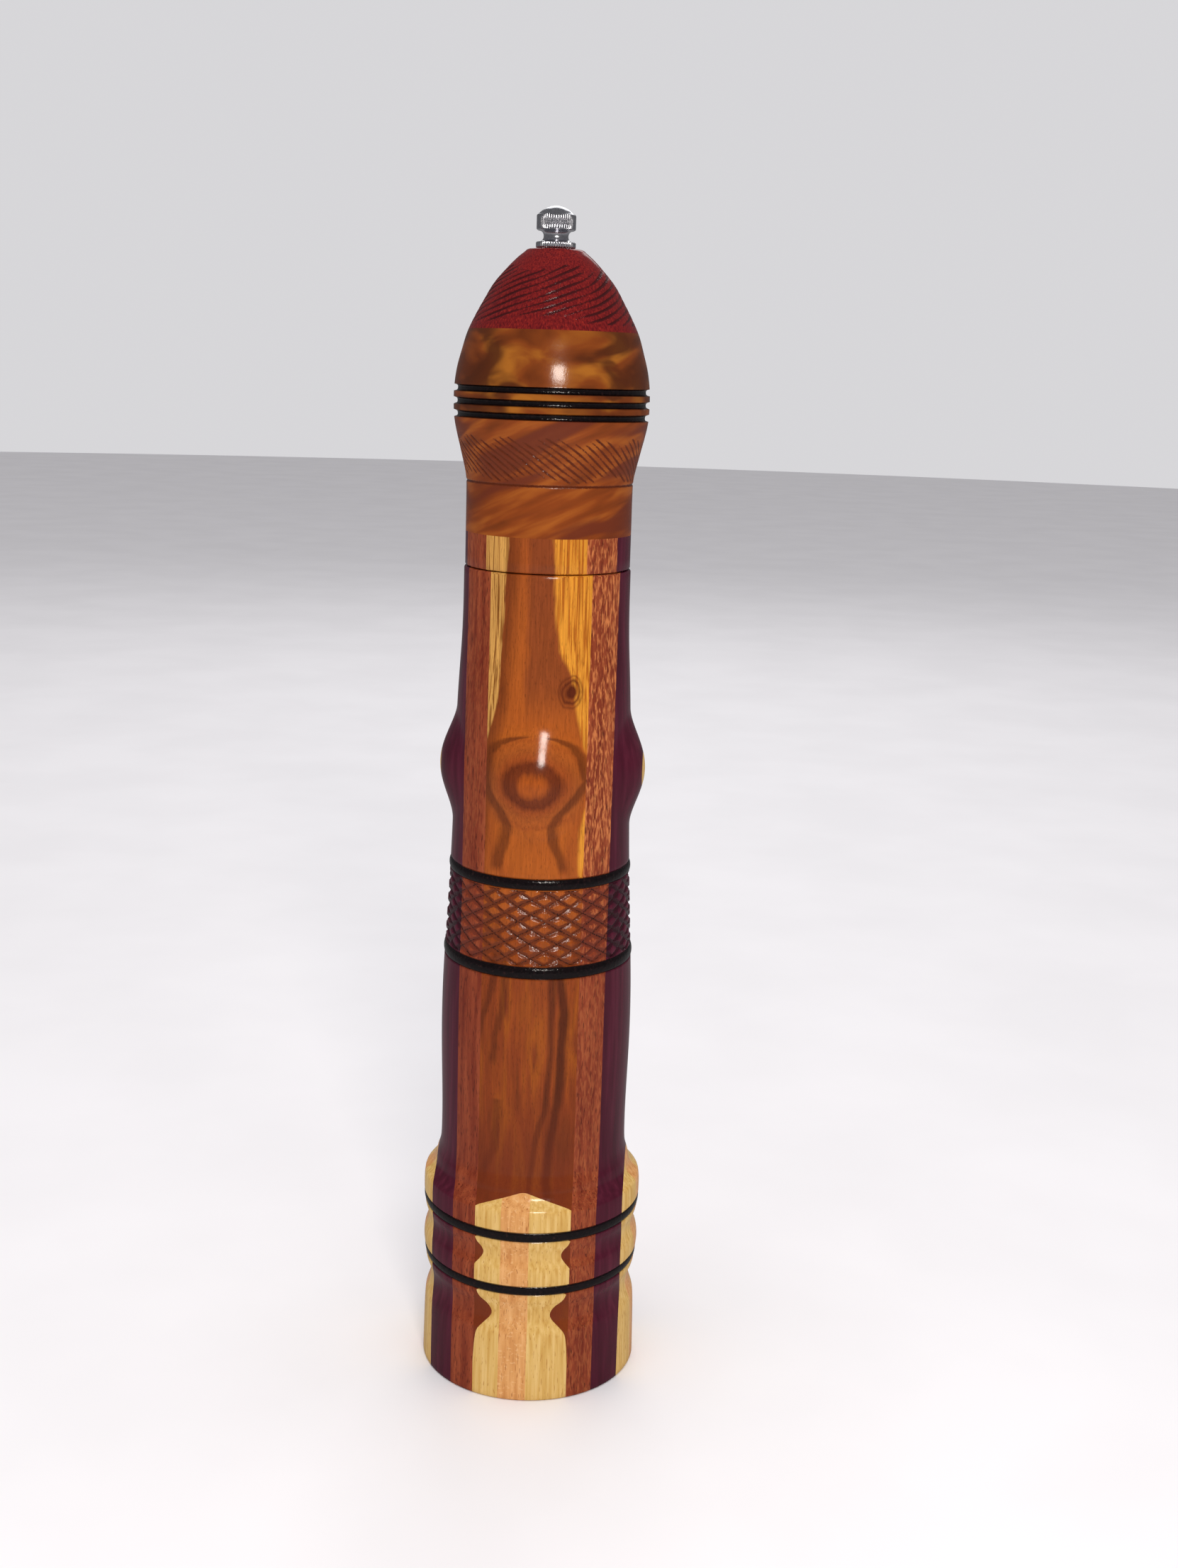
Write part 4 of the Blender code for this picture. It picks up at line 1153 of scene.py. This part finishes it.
# %% Chrome and steels
METALS = [
    # slot, name, dark and light colour, rough from and to, grain of the lines in mm
    ("chrome", "nut_bright_chrome", "#C4C4CC", "#DCDCE2", 0.14, 0.26, (0.6, 0.6, 0.6)),
    ("steel", "works_drawn_steel", "#8E9092", "#A8AAAB", 0.28, 0.46, (0.3, 0.3, 5.0)),
    ("hardened_steel", "grinder_hardened_steel", "#5A5C5E", "#737577", 0.35, 0.55,
     (0.5, 0.5, 1.5))]
for slot, name, dark, light, low, high, lines in METALS:
    material, tree, place, shader = new_finish(name)
    noise = add(tree, "TexNoise", {}, {"Vector": add(tree, "Mapping", {}, {
        "Vector": place, "Scale": grain(*lines)}), "Scale": 1.0, "Detail": 3.0})
    tone = add(tree, "ValToRGB", {"stops": [(0.35, dark), (0.65, light)]}, {"Fac": noise})
    rough = add(tree, "MapRange", {}, {"Value": noise, "To Min": low, "To Max": high})
    scratches = add(tree, "Bump", {}, {"Strength": 0.25, "Distance": 0.02 * MM,
                                       "Height": noise})
    tree.links.new(tone.outputs[0], shader.inputs["Base Color"])
    tree.links.new(rough.outputs[0], shader.inputs["Roughness"])
    tree.links.new(scratches.outputs[0], shader.inputs["Normal"])
    shader.inputs["Metallic"].default_value = 1.0
    finishes[slot] = material
print("finishes:", sorted(finishes))

# %% Give every piece and every remaining node its finish
for node, piece in made_for.items():
    piece.data.materials.clear()
    piece.data.materials.append(finishes[slot_of[node]])
for node in sorted(set(slot_of) - set(made_for)):
    for holder in frame["nodes"][node].material_slots:
        holder.material = finishes[slot_of[node]]
    print(node, "keeps its frame shape, finished as", slot_of[node])

# %% [markdown]
# ## Floor and light
# The mill stands on a plain pale floor in a bright room. One small soft lamp in front and a
# little to the right of the camera makes the row of highlights down the middle, and the pale
# surroundings fill the shadows and put light rims on the lacquer.

# %% Floor
FLOOR_R = 6.0                  # metres
FLOOR_HOLE = 0.0362            # metres; hidden under the foot, so the foot shows from below
FLOOR_SIDES = 96
only_nothing()
bpy.ops.mesh.primitive_circle_add(vertices=FLOOR_SIDES, radius=FLOOR_R, fill_type='NGON')
floor = bpy.context.object
floor.name = "floor"
bpy.ops.object.mode_set(mode='EDIT')
bpy.ops.mesh.select_all(action='SELECT')
bpy.ops.mesh.inset(thickness=FLOOR_R * cos(pi / FLOOR_SIDES) - FLOOR_HOLE)
bpy.ops.mesh.delete(type='FACE')
bpy.ops.object.mode_set(mode='OBJECT')
print("floor:", len(floor.data.polygons), "faces round a hole")
material, tree, place, shader = new_finish("pale_painted_floor")
mottle = add(tree, "TexNoise", {}, {"Vector": place, "Scale": 9.0, "Detail": 3.0})
paint = add(tree, "ValToRGB", {"stops": [(0.35, "#F4F2F4"), (0.65, "#F8F6F8")]}, {"Fac": mottle})
in_lacquer = add(tree, "Mix", {"data_type": 'RGBA'}, {
    0: add(tree, "LightPath", {}, {}).outputs["Is Glossy Ray"], 6: paint.outputs[0],
    7: linear("#909090")}).outputs[2]     # dimmer where the lacquer mirrors it
tree.links.new(in_lacquer, shader.inputs["Base Color"])
shader.inputs["Roughness"].default_value = 0.7
floor.data.materials.append(material)

# %% Light
def lamp(name, turn, distance, height, size, watts, colour, mirrored=True):
    """A square lamp that faces the middle of the mill. `turn` is degrees right of the front.
    One that isn't mirrored lights the floor and leaves no patch in the lacquer."""
    light = bpy.data.lights.new(name, 'AREA')
    light.size = size
    light.energy = watts
    light.color = linear(colour)[:3]
    made = bpy.data.objects.new(name, light)
    bpy.context.scene.collection.objects.link(made)
    made.visible_glossy = mirrored
    angle = radians(turn)
    spot = Vector((distance * sin(angle), -distance * cos(angle), height))
    made.matrix_world = Matrix.Translation(spot) @ (
        spot - Vector((0, 0, 0.18))).to_track_quat('Z', 'Y').to_matrix().to_4x4()


ROOM_LIGHT = 0.56              # how much light the pale room gives
ROOM_SEEN = 0.74               # how bright it looks
ROOM_MIRRORED = 0.15           # how bright it is in the lacquer; most of it is dim
lamp("key", 12, 0.85, 0.65, 0.2, 4.0, "#FFF8F0")
lamp("overhead", 0, 0.1, 2.4, 1.6, 20.0, "#FFFFFF", mirrored=False)
lamp("back", 180, 1.6, 1.4, 1.0, 6.0, "#FFFFFF")
world = bpy.data.worlds.new("pale_room")
world.use_nodes = True
room = world.node_tree.nodes["Background"]
room.inputs["Color"].default_value = linear("#F6F5F8")
ray = add(world.node_tree, "LightPath", {}, {})
as_seen = add(world.node_tree, "Math", {"operation": 'MULTIPLY_ADD'}, {
    0: ray.outputs["Is Camera Ray"], 1: ROOM_SEEN - ROOM_LIGHT, 2: ROOM_LIGHT})
as_gloss = add(world.node_tree, "Math", {"operation": 'MULTIPLY_ADD'}, {
    0: ray.outputs["Is Glossy Ray"], 1: ROOM_MIRRORED - ROOM_LIGHT, 2: as_seen})
world.node_tree.links.new(as_gloss.outputs[0], room.inputs["Strength"])
bpy.context.scene.world = world
bpy.context.scene.view_settings.view_transform = 'Standard'     # plain sRGB, as on a print
